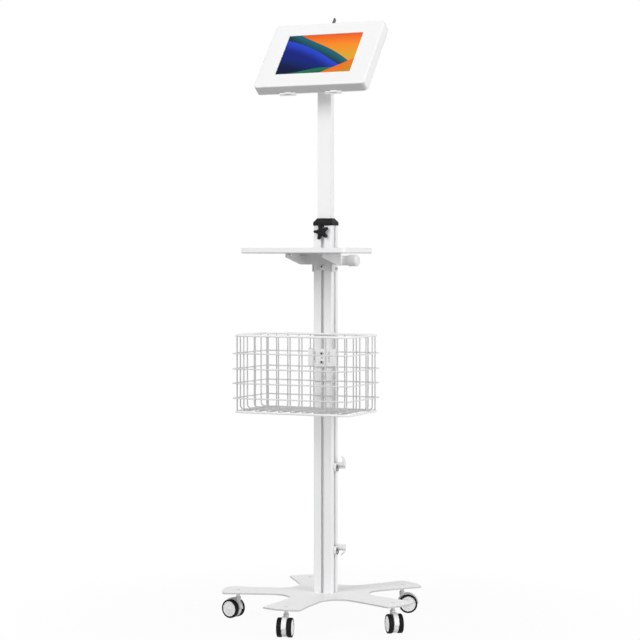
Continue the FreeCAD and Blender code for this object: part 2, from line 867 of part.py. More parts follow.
def make_collar():
    skirt_bottom = column_top - s.collar_overlap
    skirt_top = skirt_bottom + s.collar_skirt
    collar_top = skirt_top + s.collar_slope
    outer_x = column_half_width + s.collar_overhang
    outer_y = column_half_depth + s.collar_overhang
    top_x = tube_half_width + s.collar_top_wall
    top_y = tube_half_depth + s.collar_top_wall
    body = make_body("collar_solid")
    sketch = add_sketch(body, "collar_skirt_outline", "XY_Plane", skirt_bottom)
    draw_rectangle(sketch, (-outer_x, outer_x), (-outer_y, outer_y), s.collar_corner)
    pad(body, sketch, s.collar_skirt)
    low = add_sketch(body, "collar_slope_low", "XY_Plane", skirt_top)
    draw_rectangle(low, (-outer_x, outer_x), (-outer_y, outer_y), s.collar_corner)
    high = add_sketch(body, "collar_slope_high", "XY_Plane", collar_top)
    draw_rectangle(high, (-top_x, top_x), (-top_y, top_y), s.collar_corner)
    slope = body.newObject("PartDesign::AdditiveLoft", "collar_slope_loft")
    slope.Profile = low
    slope.Sections = [(high, [""])]
    slope.Ruled = True
    body.Tip = slope
    bore_x = tube_half_width + s.collar_bore_gap
    bore_y = tube_half_depth + s.collar_bore_gap
    bore = box("collar_bore", (-bore_x, bore_x), (-bore_y, bore_y), (column_top, collar_top + 1))
    sleeve_x = tube_half_width + s.sliding_gap + s.sleeve_wall
    sleeve_y = tube_half_depth + s.sliding_gap + s.sleeve_wall
    sleeve_top = column_top + s.sleeve_height
    recess = box("sleeve_recess", (-sleeve_x, sleeve_x), (-sleeve_y, sleeve_y),
                 (column_top, sleeve_top))
    seat_x = column_half_width + s.running_gap
    seat_y = column_half_depth + s.running_gap
    seat = box("column_seat", (-seat_x, seat_x), (-seat_y, seat_y), (skirt_bottom - 1, column_top))
    keep(cut("collar", body, bore, recess, seat))
    sleeve = box("sleeve_solid", (-sleeve_x, sleeve_x), (-sleeve_y, sleeve_y),
                 (column_top, sleeve_top))
    guide_x = tube_half_width + s.sliding_gap
    guide_y = tube_half_depth + s.sliding_gap
    guide = box("sleeve_bore", (-guide_x, guide_x), (-guide_y, guide_y),
                (column_top - 1, sleeve_top + 1))
    keep(cut("guide_sleeve", sleeve, guide))


# Sliding mast

def make_mast():
    outer = box("tube_solid", (-tube_half_width, tube_half_width),
                (-tube_half_depth, tube_half_depth), (tube_bottom, tube_top))
    bore_x = tube_half_width - s.tube_wall
    bore_y = tube_half_depth - s.tube_wall
    bore = box("tube_bore", (-bore_x, bore_x), (-bore_y, bore_y),
               (tube_bottom - 1, tube_top + 1))
    keep(cut("upper_tube", outer, bore))
    shoe_x = cavity_half_width - s.shoe_gap
    shoe_y = cavity_half_depth - s.shoe_gap
    flange = box("shoe_flange_block", (-shoe_x, shoe_x), (-shoe_y, shoe_y),
                 (tube_bottom - s.shoe_flange, tube_bottom))
    plug_x = bore_x - s.running_gap
    plug_y = bore_y - s.running_gap
    plug = box("shoe_plug_block", (-plug_x, plug_x), (-plug_y, plug_y),
               (tube_bottom, tube_bottom + s.shoe_plug))
    keep(fuse("tube_guide", flange, plug))


# Height clamp: a captive nut in the front slot, a stud with its knob and a pad on the mast

pad_inner = tube_half_depth + s.clamp_pad_gap
pad_outer = pad_inner + s.clamp_pad_length
stud_inner = pad_outer + s.swivel_gap
knob_back = column_half_depth + s.knob_standoff
knob_front = knob_back + s.knob_thickness


def make_clamp():
    centre = (0, clamp_height)
    face = column_half_depth - s.face_slot_lip
    block = box("clamp_nut_block", (-s.clamp_nut_width / 2, s.clamp_nut_width / 2),
                (-face + s.sliding_gap, -slot_floor - s.sliding_gap),
                (clamp_height - s.clamp_nut_height / 2, clamp_height + s.clamp_nut_height / 2))
    thread = cylinder("clamp_nut_bore", "y", s.clamp_stud_radius + s.running_gap,
                      -column_half_depth, -slot_floor + 1, centre)
    keep(cut("clamp_nut", block, thread))
    keep(cylinder("clamp_pad", "y", s.clamp_stud_radius, -pad_outer, -pad_inner, centre))
    stud_outer = knob_front - s.knob_front_wall
    keep(cylinder("knob_stud", "y", s.clamp_stud_radius, -stud_outer, -stud_inner, centre))

    body = make_body("knob_solid")
    hub = add_sketch(body, "knob_hub", "XZ_Plane", column_half_depth + s.knob_hub_gap)
    draw_circle(hub, s.knob_hub_radius)
    pad(body, hub, s.knob_standoff - s.knob_hub_gap + s.knob_thickness)
    lobe = add_sketch(body, "knob_lobe", "XZ_Plane", knob_back)
    half = s.knob_arm_width / 2
    draw_outline(lobe, [(-half, 0), (half, 0), (half, s.knob_radius - half, half),
                        (0, s.knob_radius, half), (-half, s.knob_radius - half)])
    arm = pad(body, lobe, s.knob_thickness)
    repeat_around(body, arm, "Y_Axis", KNOB_LOBES)
    place(body, z=clamp_height, axis=FreeCAD.Vector(0, -1, 0), angle=s.knob_rest_angle)
    bore = cylinder("knob_bore", "y", s.clamp_stud_radius + s.running_gap,
                    -stud_outer, -column_half_depth, centre)
    keep(cut("height_knob", body, bore))


# Screws and nuts of the slots

slot_screws = []
slot_nuts = []
face_nut_inner = slot_floor + s.slot_nut_gap
face_nut_outer = column_half_depth - s.face_slot_lip - s.sliding_gap
side_nut_outer = column_half_width - s.side_slot_lip - s.sliding_gap
side_nut_inner = side_nut_outer - s.side_slot_depth + s.slot_nut_gap + s.sliding_gap


def slot_fastener(name, face, height, head_seat):
    # A pan-head screw through a piece whose outer face is head_seat from the column's axis
    axis = "x" if face in ("left", "right") else "y"
    sign = 1 if face in ("right", "back") else -1
    inner = side_nut_inner if axis == "x" else face_nut_inner
    outer = side_nut_outer if axis == "x" else face_nut_outer
    at = (0, height)

    def span(near, far):
        return (near, far) if sign > 0 else (-far, -near)

    head = cylinder(name + "_head", axis, s.slot_screw_head_radius,
                    *span(head_seat, head_seat + s.slot_screw_head), at)
    shank = cylinder(name + "_shank", axis, s.slot_screw_radius, *span(inner, head_seat), at)
    slot_screws.append(fuse(name + "_screw", head, shank))
    if axis == "x":
        half = s.side_slot_width / 2 - s.running_gap
        long_half = s.side_nut_length / 2
        block = box(name + "_block", span(inner, outer), (-half, half),
                    (height - long_half, height + long_half))
    else:
        half = s.face_slot_width / 2 - s.running_gap
        long_half = s.slot_nut_length / 2
        block = box(name + "_block", (-half, half), span(inner, outer),
                    (height - long_half, height + long_half))
    thread = cylinder(name + "_thread", axis, s.slot_screw_radius + s.running_gap,
                      *span(inner - 1, outer + 1), at)
    slot_nuts.append(cut(name + "_nut", block, thread))


def slot_screw_hole(name, axis, low, high, height):
    return cylinder(name, axis, s.slot_screw_radius + s.screw_gap, low, high, (0, height))


# Tray and its bracket

def make_tray():
    half = s.tray_width / 2
    top = tray_floor + s.tray_height
    body = make_body("tray_pan")
    sketch = add_sketch(body, "tray_outline", "XY_Plane", tray_floor)
    draw_rectangle(sketch, (-half, half), (-s.tray_front, -s.tray_back), s.tray_corner)
    pad(body, sketch, s.tray_height)
    round_edges(body, s.tray_rounding, lambda edge: lies_at(edge, "Z", tray_floor))
    inner = half - s.tray_wall
    hollow = add_sketch(body, "tray_hollow", "XY_Plane", top)
    draw_rectangle(hollow, (-inner, inner),
                   (-s.tray_front + s.tray_wall, -s.tray_back - s.tray_wall),
                   s.tray_corner - s.tray_wall)
    pocket(body, hollow, s.tray_height - s.tray_wall)
    hole = cylinder("tray_screw_hole", "z", s.tray_screw_radius + s.running_gap,
                    tray_floor - 1, tray_floor + s.tray_wall + 1)
    keep(cut("tray", body, at_tray_screws("tray_screw_holes", hole)))


def at_tray_screws(name, piece):
    x = s.bracket_half_width - s.tray_screw_inset
    copies = []
    for side, offset in (("left", -x), ("right", x)):
        for row, y in (("near", -s.tray_screw_near), ("far", -s.tray_screw_far)):
            copies.append(set_down("%s_%s_%s" % (name, side, row), piece, offset, y))
    return group(name, *copies)


def make_tray_bracket():
    back = -column_half_depth
    front = back - s.bracket_sheet
    wide = s.bracket_half_width
    bottom = tray_floor - s.bracket_height
    tab_bottom = bottom - s.tab_height
    pieces = [
        box("bracket_back", (-wide, wide), (front, back), (bottom, tray_floor)),
        box("bracket_tab", (-s.tab_half_width, s.tab_half_width), (front, back),
            (tab_bottom, bottom)),
    ]
    ear_near = column_half_width + s.ear_gap
    ear_far = ear_near + s.ear_sheet
    ear_top = tray_floor - s.ear_top_drop
    ear_bottom = ear_top - s.ear_height
    flange_bottom = tray_floor - s.bracket_sheet
    for side, sign in (("left", -1), ("right", 1)):
        inner = wide - s.bracket_sheet
        gusset = make_body("gusset_" + side)
        start = -wide if sign < 0 else inner
        sketch = add_sketch(gusset, "gusset_outline_" + side, "YZ_Plane", start)
        draw_outline(sketch, [
            (front, bottom), (front, tray_floor), (-s.bracket_reach, tray_floor),
            (-s.bracket_reach, tray_floor - s.gusset_tip_height),
            (back - s.gusset_flat, bottom),
        ])
        pad(gusset, sketch, s.bracket_sheet)
        flange_x = (wide - s.flange_width, wide) if sign > 0 else (-wide, s.flange_width - wide)
        flange = box("flange_" + side, flange_x, (-s.bracket_reach, back),
                     (flange_bottom, tray_floor))
        ear_x = (ear_near, ear_far) if sign > 0 else (-ear_far, -ear_near)
        ear = box("ear_" + side, ear_x, (front, s.ear_back), (ear_bottom, ear_top))
        pieces += [gusset, flange, ear]
    solid = fuse("bracket_solid", *pieces)
    tab_screw = bottom - s.tab_screw_drop
    ear_screw = ear_bottom + s.ear_screw_rise
    tools = [
        slot_screw_hole("bracket_tab_hole", "y", front - 1, back + 1, tab_screw),
        slot_screw_hole("bracket_ear_holes", "x", -ear_far - 1, ear_far + 1, ear_screw),
        cylinder("bracket_locating_hole", "y", s.locating_hole_radius, front - 1, back + 1,
                 (s.locating_hole_x, bottom - s.locating_hole_drop)),
    ]
    hole = cylinder("flange_screw_hole", "z", s.tray_screw_radius + s.running_gap,
                    flange_bottom - 1, tray_floor + 1)
    tools.append(at_tray_screws("flange_screw_holes", hole))
    keep(cut("tray_bracket", solid, *tools))
    slot_fastener("bracket_tab", "front", tab_screw, -front)
    slot_fastener("bracket_ear_left", "left", ear_screw, ear_far)
    slot_fastener("bracket_ear_right", "right", ear_screw, ear_far)

    head = cylinder("tray_screw_head_disc", "z", s.tray_screw_head_radius,
                    flange_bottom - s.tray_screw_head, flange_bottom)
    shank = cylinder("tray_screw_shank", "z", s.tray_screw_radius, flange_bottom,
                     tray_floor + s.tray_wall)
    keep(at_tray_screws("tray_screws", fuse("tray_screw", head, shank)))


# Push handle at the column's back

def make_handle():
    seat = column_half_depth
    foot_front = seat + s.handle_foot_sheet
    centre = (s.handle_reach, handle_height)
    foot = box("handle_foot", (-s.handle_foot_half_width, s.handle_foot_half_width),
               (seat, foot_front), (handle_height - s.handle_foot_half_height,
                                    handle_height + s.handle_foot_half_height))
    beam = box("handle_beam", (-s.handle_arm_half_width, s.handle_arm_half_width),
               (seat, s.handle_reach), (handle_height - s.handle_arm_half_height,
                                        handle_height + s.handle_arm_half_height))
    saddle = cylinder("handle_saddle", "x", s.handle_grip_radius + s.running_gap,
                      -s.handle_reach, s.handle_reach, centre)
    holes = []
    for row, sign in (("upper", 1), ("lower", -1)):
        height = handle_height + sign * s.handle_screw_offset
        holes.append(slot_screw_hole("handle_hole_" + row, "y", seat - 1, foot_front + 1, height))
        slot_fastener("handle_" + row, "back", height, foot_front)
    keep(cut("handle_arm", fuse("handle_arm_solid", foot, beam), saddle, *holes))

    grip = cylinder("handle_grip", "x", s.handle_grip_radius, -s.handle_bar_half_length,
                    s.handle_bar_half_length, centre)
    rod_end = s.handle_cap_reach - s.handle_rod_end_gap
    rod = cylinder("handle_rod", "x", s.handle_rod_radius, -rod_end, rod_end, centre)
    keep(fuse("handle_bar", grip, rod))

    caps = []
    for side, sign in (("left", -1), ("right", 1)):
        body = make_body("handle_cap_" + side)
        start = s.handle_bar_half_length if sign > 0 else -s.handle_cap_reach
        sketch = add_sketch(body, "handle_cap_outline_" + side, "YZ_Plane", start)
        draw_circle(sketch, s.handle_cap_radius)
        pad(body, sketch, s.handle_cap_reach - s.handle_bar_half_length)
        round_edges(body, s.handle_cap_rounding,
                    lambda edge: lies_at(edge, "X", sign * s.handle_cap_reach))
        place(body, 0, s.handle_reach, handle_height)
        near, far = s.handle_bar_half_length - 1, rod_end + s.running_gap
        bore_x = (near, far) if sign > 0 else (-far, -near)
        bore = cylinder("handle_cap_bore_" + side, "x", s.handle_rod_radius + s.running_gap,
                        *bore_x, centre)
        caps.append(cut("handle_cap_bored_" + side, body, bore))
    keep(group("handle_caps", *caps))


# Basket: a net of welded wires between two thick rims, with its mounting plate

def rim_wire(level):
    # The closed path of a rim's centre line
    half = s.basket_half_width.number
    front = -s.basket_front.number
    back = -basket_back.number
    radius = s.basket_corner.number
    turns = [(half - radius, back - radius, 0), (radius - half, back - radius, 90),
             (radius - half, front + radius, 180), (half - radius, front + radius, 270)]
    edges = []
    previous = None
    for x, y, start in turns + turns[:1]:
        centre = FreeCAD.Vector(x, y, level)
        points = []
        for angle in (start, start + 45, start + 90):
            reach = FreeCAD.Vector(cos(radians(angle)), sin(radians(angle)), 0).multiply(radius)
            points.append(centre.add(reach))
        if previous is not None:
            edges.append(Part.makeLine(previous, points[0]))
        if len(edges) < 8:
            edges.append(Part.Arc(*points).toShape())
        previous = points[2]
    return Part.Wire(Part.__sortEdges__(edges))


def make_rim(name, level):
    path = rim_wire(level.number)
    start = path.OrderedVertexes[0].Point
    along = path.OrderedEdges[0].tangentAt(path.OrderedEdges[0].FirstParameter)
    section = Part.Wire([Part.makeCircle(s.basket_rim_radius.number, start, along)])
    rim = doc.addObject("Part::Feature", name)
    rim.Shape = path.makePipeShell([section], True, True)
    return rim


def basket_windows():
    # The gaps between the wires, cut right through from front to back, from side to side and down
    wire = s.basket_wire.number / 2
    half = s.basket_half_width.number
    front = -s.basket_front.number
    back = -basket_back.number
    corner = s.basket_corner.number
    # Past the last upright the gap runs on into the corner, up to the wire at its middle
    corner_gap = corner * (1 - sqrt(0.5)) + 2 * wire
    uprights = [step * basket_pitch.number for step in range(-4, 5)]
    columns = [corner_gap - half] + uprights + [half - corner_gap]
    depths = [-s.basket_side_first.number - step * basket_side_pitch.number for step in range(4)]
    rows_y = [back - corner_gap] + depths + [front + corner_gap]
    rim = s.basket_rim_radius.number
    levels = [s.basket_bottom.number + rim - wire] + [
        (s.basket_bottom + rise).number
        for rise in (s.loop_one_rise, s.loop_two_rise, s.loop_three_rise, s.loop_four_rise)
    ] + [basket_top.number - rim + wire]
    border = s.mount_plate_border.number
    plate_edge = s.mount_plate_half_width.number + border
    plate_low = mount_plate_bottom.number - border
    plate_high = mount_plate_top.number + border
    reach = s.basket_wire.number
    gaps = []

    def add_gap(x, y, z):
        gaps.append(Part.makeBox(x[1] - x[0], y[1] - y[0], z[1] - z[0],
                                 FreeCAD.Vector(x[0], y[0], z[0])))

    for low, high in zip(levels, levels[1:]):
        z = (low + wire, high - wire)
        for start, end in zip(columns, columns[1:]):
            x = (start + wire, end - wire)
            add_gap(x, (front - reach, front + corner), z)
            near_plate = min(abs(x[0]), abs(x[1])) < plate_edge
            if near_plate and z[0] < plate_high and z[1] > plate_low:
                outside = max(abs(x[0]), abs(x[1])) > plate_edge
                if high == levels[-1]:
                    add_gap(x, (back - corner, back + reach), (plate_high, z[1]))
                elif outside:
                    x = (plate_edge, x[1]) if x[0] > 0 else (x[0], -plate_edge)
                    add_gap(x, (back - corner, back + reach), z)
            else:
                add_gap(x, (back - corner, back + reach), z)
        for near, far in zip(rows_y, rows_y[1:]):
            y = (far + wire, near - wire)
            for side in (-1, 1):
                x = sorted((side * (half - corner), side * (half + reach)))
                add_gap(x, y, z)
    floor = (s.basket_bottom.number - reach, s.basket_bottom.number + 2 * reach)
    floor_columns = [rim - half] + uprights + [half - rim]
    floor_rows = [back - rim] + depths + [front + rim]
    for start, end in zip(floor_columns, floor_columns[1:]):
        for near, far in zip(floor_rows, floor_rows[1:]):
            x = (max(start + wire, corner - half), min(end - wire, half - corner))
            y = (max(far + wire, front + corner / 2), min(near - wire, back - corner / 2))
            add_gap(x, y, floor)
    cutter = doc.addObject("Part::Feature", "basket_gaps")
    cutter.Shape = Part.makeCompound(gaps)
    return cutter


def make_basket():
    wire = s.basket_wire / 2
    outer_x = s.basket_half_width + wire
    inner_x = s.basket_half_width - wire
    body = make_body("basket_walls")
    sketch = add_sketch(body, "basket_outline", "XY_Plane", s.basket_bottom)
    draw_rectangle(sketch, (-outer_x, outer_x), (-s.basket_front - wire, wire - basket_back),
                   s.basket_corner + wire)
    pad(body, sketch, basket_top - s.basket_bottom)
    hollow = add_sketch(body, "basket_hollow", "XY_Plane", basket_top)
    draw_rectangle(hollow, (-inner_x, inner_x), (wire - s.basket_front, -basket_back - wire),
                   s.basket_corner - wire)
    pocket(body, hollow, basket_top - s.basket_bottom - s.basket_wire)
    net = cut("basket_net", body, basket_windows())
    plate_window = box("mount_plate_window", (-s.mount_plate_half_width, s.mount_plate_half_width),
                       (-basket_back - s.basket_wire, s.basket_wire - basket_back),
                       (mount_plate_bottom, mount_plate_top))
    open_net = cut("basket_open_net", net, plate_window)
    keep(fuse("basket", open_net, make_rim("basket_top_rim", basket_top),
              make_rim("basket_bottom_rim", s.basket_bottom)))


def make_basket_plate():
    back = -column_half_depth - s.sliding_gap
    front = back - s.mount_plate_sheet
    edge = s.mount_plate_half_width - s.running_gap
    solid = box("mount_plate_solid", (-edge, edge), (front, back),
                (mount_plate_bottom + s.running_gap, mount_plate_top - s.running_gap))
    tools = []
    for side, sign in (("left", -1), ("right", 1)):
        middle = sign * s.mount_plate_slot_x
        half = s.mount_plate_slot_width / 2
        tools.append(box("mount_slot_" + side, (middle - half, middle + half),
                         (front - 1, back + 1), (mount_plate_bottom + s.mount_plate_slot_inset,
                                                 mount_plate_top - s.mount_plate_slot_inset)))
    for row, rise in (("upper", s.mount_screw_upper_rise), ("lower", s.mount_screw_lower_rise)):
        height = mount_plate_bottom + rise
        tools.append(slot_screw_hole("mount_hole_" + row, "y", front - 1, back + 1, height))
        slot_fastener("mount_" + row, "front", height, -front)
    tools.append(cylinder("mount_locating_hole", "y", s.locating_hole_radius, front - 1, back + 1,
                          (0, mount_plate_bottom + s.mount_hole_rise)))
    keep(cut("basket_plate", solid, *tools))


# Cable hooks on the column's right side

def make_hooks():
    base = column_half_width
    puck_end = base + s.hook_puck_depth
    tip = base + s.hook_reach
    blade = tip - s.hook_blade
    root = puck_end - 1
    # the upper hook's lip stands up, the lower one's hangs down
    outlines = {
        "upper": [(root, s.hook_upper_low), (tip, s.hook_upper_low), (tip, s.hook_tip_rise),
                  (blade, s.hook_tip_rise), (blade, s.hook_upper_high), (root, s.hook_upper_high)],
        "lower": [(root, s.hook_lower_low), (blade, s.hook_lower_low), (blade, -s.hook_tip_drop),
                  (tip, -s.hook_tip_drop), (tip, s.hook_lower_high), (root, s.hook_lower_high)],
    }
    hooks = []
    for name, height in (("upper", s.hook_upper_height), ("lower", s.hook_lower_height)):
        puck = cylinder("hook_puck_" + name, "x", s.hook_puck_radius, base, puck_end, (0, height))
        body = make_body("hook_arm_" + name)
        sketch = add_sketch(body, "hook_outline_" + name, "XZ_Plane")
        draw_outline(sketch, outlines[name])
        pad(body, sketch, 2 * s.hook_half_width, midplane=True)
        place(body, z=height)
        seat = puck_end - s.hook_recess
        recess = cylinder("hook_recess_" + name, "x", s.slot_screw_head_radius + s.screw_gap,
                          seat, tip + 1, (0, height))
        hole = slot_screw_hole("hook_hole_" + name, "x", base - 1, seat + 1, height)
        hooks.append(cut("hook_" + name, fuse("hook_solid_" + name, puck, body), recess, hole))
        slot_fastener("hook_" + name + "_fastener", "right", height, seat)
    keep(group("cable_hooks", *hooks))


# Head bracket on the mast, with the tilt bolt

cheek_inner = tube_half_width + s.sliding_gap
cheek_outer = cheek_inner + s.cheek_sheet


def make_head_bracket():
    web_front = tube_half_depth + s.web_gap
    web_back = web_front + s.cheek_sheet
    pieces = [box("bracket_web", (-cheek_outer, cheek_outer), (web_front, web_back),
                  (cheek_bottom, web_top))]
    pivot = (0, pivot_height)
    for side, sign in (("left", -1), ("right", 1)):
        x = (cheek_inner, cheek_outer) if sign > 0 else (-cheek_outer, -cheek_inner)
        pieces.append(box("cheek_" + side, x, (-s.cheek_radius, s.cheek_radius),
                          (cheek_bottom, pivot_height)))
        pieces.append(box("cheek_flank_" + side, x, (0, web_back), (cheek_bottom, web_top)))
        pieces.append(cylinder("cheek_round_" + side, "x", s.cheek_radius, *x, pivot))
    bore = cylinder("cheek_bore", "x", s.tilt_bolt_radius + s.running_gap,
                    -cheek_outer - 1, cheek_outer + 1, pivot)
    keep(cut("head_bracket", fuse("head_bracket_solid", *pieces), bore))

    nut_end = -cheek_outer - s.tilt_nut_height
    shank = cylinder("tilt_shank", "x", s.tilt_bolt_radius, nut_end, cheek_outer, pivot)
    head = cylinder("tilt_bolt_cap", "x", s.tilt_bolt_head_radius, cheek_outer,
                    cheek_outer + s.tilt_bolt_head, pivot)
    keep(fuse("tilt_bolt", shank, head))
    nut = hexagon("tilt_nut_block", "x", s.tilt_nut_radius, nut_end, -cheek_outer, pivot)
    thread = cylinder("tilt_nut_bore", "x", s.tilt_bolt_radius + s.running_gap,
                      nut_end - 1, -cheek_outer + 1, pivot)
    keep(cut("tilt_nut", nut, thread))


# The head is drawn upright about its pivot, facing the front, and set down tilted back

def in_head(name, piece):
    return keep(set_down(name, piece, 0, 0, pivot_height, -X_AXIS, s.tilt_angle))


yoke_front = s.yoke_plate_depth + s.yoke_plate_sheet
disc_back = yoke_front + s.swivel_gap
disc_front = disc_back + s.disc_sheet
plate_front = disc_front + s.back_sheet
nut_back = plate_front + s.sliding_gap
case_front = disc_front + s.case_depth
case_half_width = s.case_width / 2
case_half_height = s.case_height / 2


def make_yoke():
    body = make_body("yoke_plate")
    sketch = add_sketch(body, "yoke_outline", "XZ_Plane", s.yoke_plate_depth)
    half = s.yoke_plate_half
    draw_rectangle(sketch, (-half, half), (-half, half), s.yoke_plate_corner)
    pad(body, sketch, s.yoke_plate_sheet)
    ear_outer = cheek_inner - s.ear_inset
    ear_inner = ear_outer - s.yoke_ear_sheet
    pieces = [body]
    for side, sign in (("left", -1), ("right", 1)):
        x = (ear_inner, ear_outer) if sign > 0 else (-ear_outer, -ear_inner)
        pieces.append(box("yoke_ear_" + side, x, (-yoke_front, 0),
                          (-s.yoke_ear_radius, s.yoke_ear_radius)))
        pieces.append(cylinder("yoke_ear_round_" + side, "x", s.yoke_ear_radius, *x))
    tilt_bore = cylinder("yoke_tilt_bore", "x", s.tilt_bolt_radius + s.running_gap,
                         -ear_outer - 1, ear_outer + 1)
    swivel_bore = cylinder("yoke_swivel_bore", "y", s.tilt_bolt_radius + s.running_gap,
                           -yoke_front - 1, 1 - s.yoke_plate_depth)
    in_head("tilt_yoke", cut("yoke", fuse("yoke_solid", *pieces), tilt_bore, swivel_bore))


def make_swivel():
    nut_front = nut_back + s.swivel_nut_height
    head = cylinder("swivel_head", "y", s.tilt_bolt_head_radius,
                    -s.yoke_plate_depth, s.tilt_bolt_head - s.yoke_plate_depth)
    shank = cylinder("swivel_shank", "y", s.tilt_bolt_radius, -nut_front, -s.yoke_plate_depth)
    nut = hexagon("swivel_nut_block", "y", s.tilt_nut_radius, -nut_front, -nut_back)
    thread = cylinder("swivel_nut_bore", "y", s.tilt_bolt_radius + s.running_gap,
                      -nut_front - 1, 1 - nut_back)
    in_head("swivel_bolt", group("swivel_set", fuse("swivel_pin", head, shank),
                                 cut("swivel_nut", nut, thread)))
    disc = cylinder("disc_solid", "y", s.disc_radius, -disc_front, -disc_back)
    bore = cylinder("disc_bore", "y", s.tilt_bolt_radius + s.running_gap,
                    -disc_front - 1, 1 - disc_back)
    sinks = at_disc_screws("disc_sinks", disc_screw("disc_sink", s.running_gap))
    in_head("swivel_disc", cut("disc", disc, bore, sinks))
    in_head("disc_screws", at_disc_screws("disc_screw_set", disc_screw("disc_screw", 0)))


def disc_screw(name, gap):
    radius = s.disc_screw_radius + gap
    head_radius = s.disc_screw_head_radius + gap
    neck = disc_back + s.disc_screw_head_radius - s.disc_screw_radius
    head = cone(name + "_head", "y", radius, head_radius, -neck, -disc_back)
    shank = cylinder(name + "_shank", "y", radius, -plate_front, -disc_back)
    return fuse(name, head, shank)


def at_disc_screws(name, piece):
    copies = []
    for index in range(4):
        x = s.disc_screw_circle * cosine(90 * index)
        z = s.disc_screw_circle * sine(90 * index)
        copies.append(set_down("%s_%d" % (name, index), piece, x, 0, z))
    return group(name, *copies)


# Enclosure: back plate with hinge tabs and catch, hinged cover, tablet and lock

hinge_y = -plate_front - s.cover_seat_gap - s.knuckle_radius
hinge_z = -case_half_height - s.knuckle_drop
hinge_axis = (hinge_y, hinge_z)
lock_y = s.lock_setback - case_front
barrel_bottom = case_half_height - s.barrel_length


hinge_centres = {"left": -s.hinge_tab_x, "right": s.hinge_tab_x}


def middle_knuckle(centre):
    return centre - s.knuckle_half_length, centre + s.knuckle_half_length


def outer_knuckles(centre):
    near = s.knuckle_half_length + s.knuckle_end_gap
    far = s.hinge_tab_half_width
    return {"low": (centre - far, centre - near), "high": (centre + near, centre + far)}


def make_back_plate():
    body = make_body("back_panel")
    sketch = add_sketch(body, "back_outline", "XZ_Plane", disc_front)
    draw_rectangle(sketch, (-case_half_width, case_half_width),
                   (-case_half_height, case_half_height), s.case_corner)
    pad(body, sketch, s.back_sheet)
    pieces = [body]
    bores = []
    pins = []
    for side, centre in hinge_centres.items():
        wide = (centre - s.hinge_tab_half_width, centre + s.hinge_tab_half_width)
        pieces.append(box("hinge_tab_" + side, wide, (-plate_front, -disc_front),
                          (-case_half_height - s.hinge_tab_drop, s.case_corner - case_half_height)))
        for end, span in outer_knuckles(centre).items():
            name = "%s_%s" % (side, end)
            pieces.append(cylinder("knuckle_" + name, "x", s.knuckle_radius, *span, hinge_axis))
            pieces.append(box("knuckle_foot_" + name, span, (hinge_y, -plate_front),
                              (hinge_z - s.knuckle_radius, hinge_z + s.knuckle_radius)))
        bores.append(cylinder("pin_bore_" + side, "x", s.hinge_pin_radius + s.running_gap,
                              wide[0] - 1, wide[1] + 1, hinge_axis))
        pins.append(cylinder("hinge_pin_" + side, "x", s.hinge_pin_radius, *wide, hinge_axis))
    catch_back = lock_y - s.cam_half_width - s.catch_gap
    catch_top = barrel_bottom - s.sliding_gap - s.cam_sheet - s.catch_gap
    catch_x = (-s.catch_far, -s.catch_near)
    pieces.append(box("catch_leg", catch_x, (catch_back, -plate_front),
                      (catch_top - s.catch_sheet, catch_top)))
    pieces.append(box("catch_lip", catch_x, (catch_back - s.catch_sheet, catch_back),
                      (catch_top - s.catch_sheet, catch_top + s.catch_lip_height - s.catch_sheet)))
    bores.append(cylinder("back_swivel_bore", "y", s.tilt_bolt_radius + s.running_gap,
                          -plate_front - 1, 1 - disc_front))
    bores.append(at_disc_screws("back_screw_bores", cylinder(
        "back_screw_bore", "y", s.disc_screw_radius + s.running_gap,
        -plate_front - 1, 1 - disc_front)))
    in_head("back_plate", cut("back_panel_bored", fuse("back_panel_solid", *pieces), *bores))
    in_head("hinge_pins", group("hinge_pin_pair", *pins))


def make_cover():
    rear = plate_front + s.cover_seat_gap
    depth = case_front - rear
    body = make_body("cover_shell")
    sketch = add_sketch(body, "cover_outline", "XZ_Plane", rear)
    draw_rectangle(sketch, (-case_half_width, case_half_width),
                   (-case_half_height, case_half_height), s.case_corner)
    pad(body, sketch, depth)
    round_edges(body, s.case_rounding, lambda edge: lies_at(edge, "Y", -case_front))
    inner_x = case_half_width - s.cover_wall
    inner_z = case_half_height - s.cover_wall
    hollow = add_sketch(body, "cover_hollow", "XZ_Plane", rear)
    draw_rectangle(hollow, (-inner_x, inner_x), (-inner_z, inner_z), s.case_corner - s.cover_wall)
    pocket(body, hollow, depth - s.cover_wall, forward=True)
    window = add_sketch(body, "cover_window", "XZ_Plane", case_front)
    draw_rectangle(window, (-s.window_width / 2, s.window_width / 2),
                   (-s.window_height / 2, s.window_height / 2), s.window_corner)
    pocket(body, window, s.cover_wall + 1)
    pieces = [body]
    bores = []
    for side, centre in hinge_centres.items():
        middle = middle_knuckle(centre)
        pieces.append(cylinder("cover_knuckle_" + side, "x", s.knuckle_radius, *middle, hinge_axis))
        pieces.append(box("cover_knuckle_foot_" + side, middle,
                          (hinge_y - s.knuckle_radius, hinge_y + s.knuckle_radius),
                          (hinge_z, s.cover_wall / 2 - case_half_height)))
        bores.append(cylinder("cover_pin_bore_" + side, "x", s.hinge_pin_radius + s.running_gap,
                              middle[0] - 1, middle[1] + 1, hinge_axis))
    bores.append(cylinder("barrel_hole", "z", s.barrel_radius + s.running_gap,
                          barrel_bottom, case_half_height + 1, (0, lock_y)))
    in_head("front_cover", cut("cover_bored", fuse("cover_solid", *pieces), *bores))


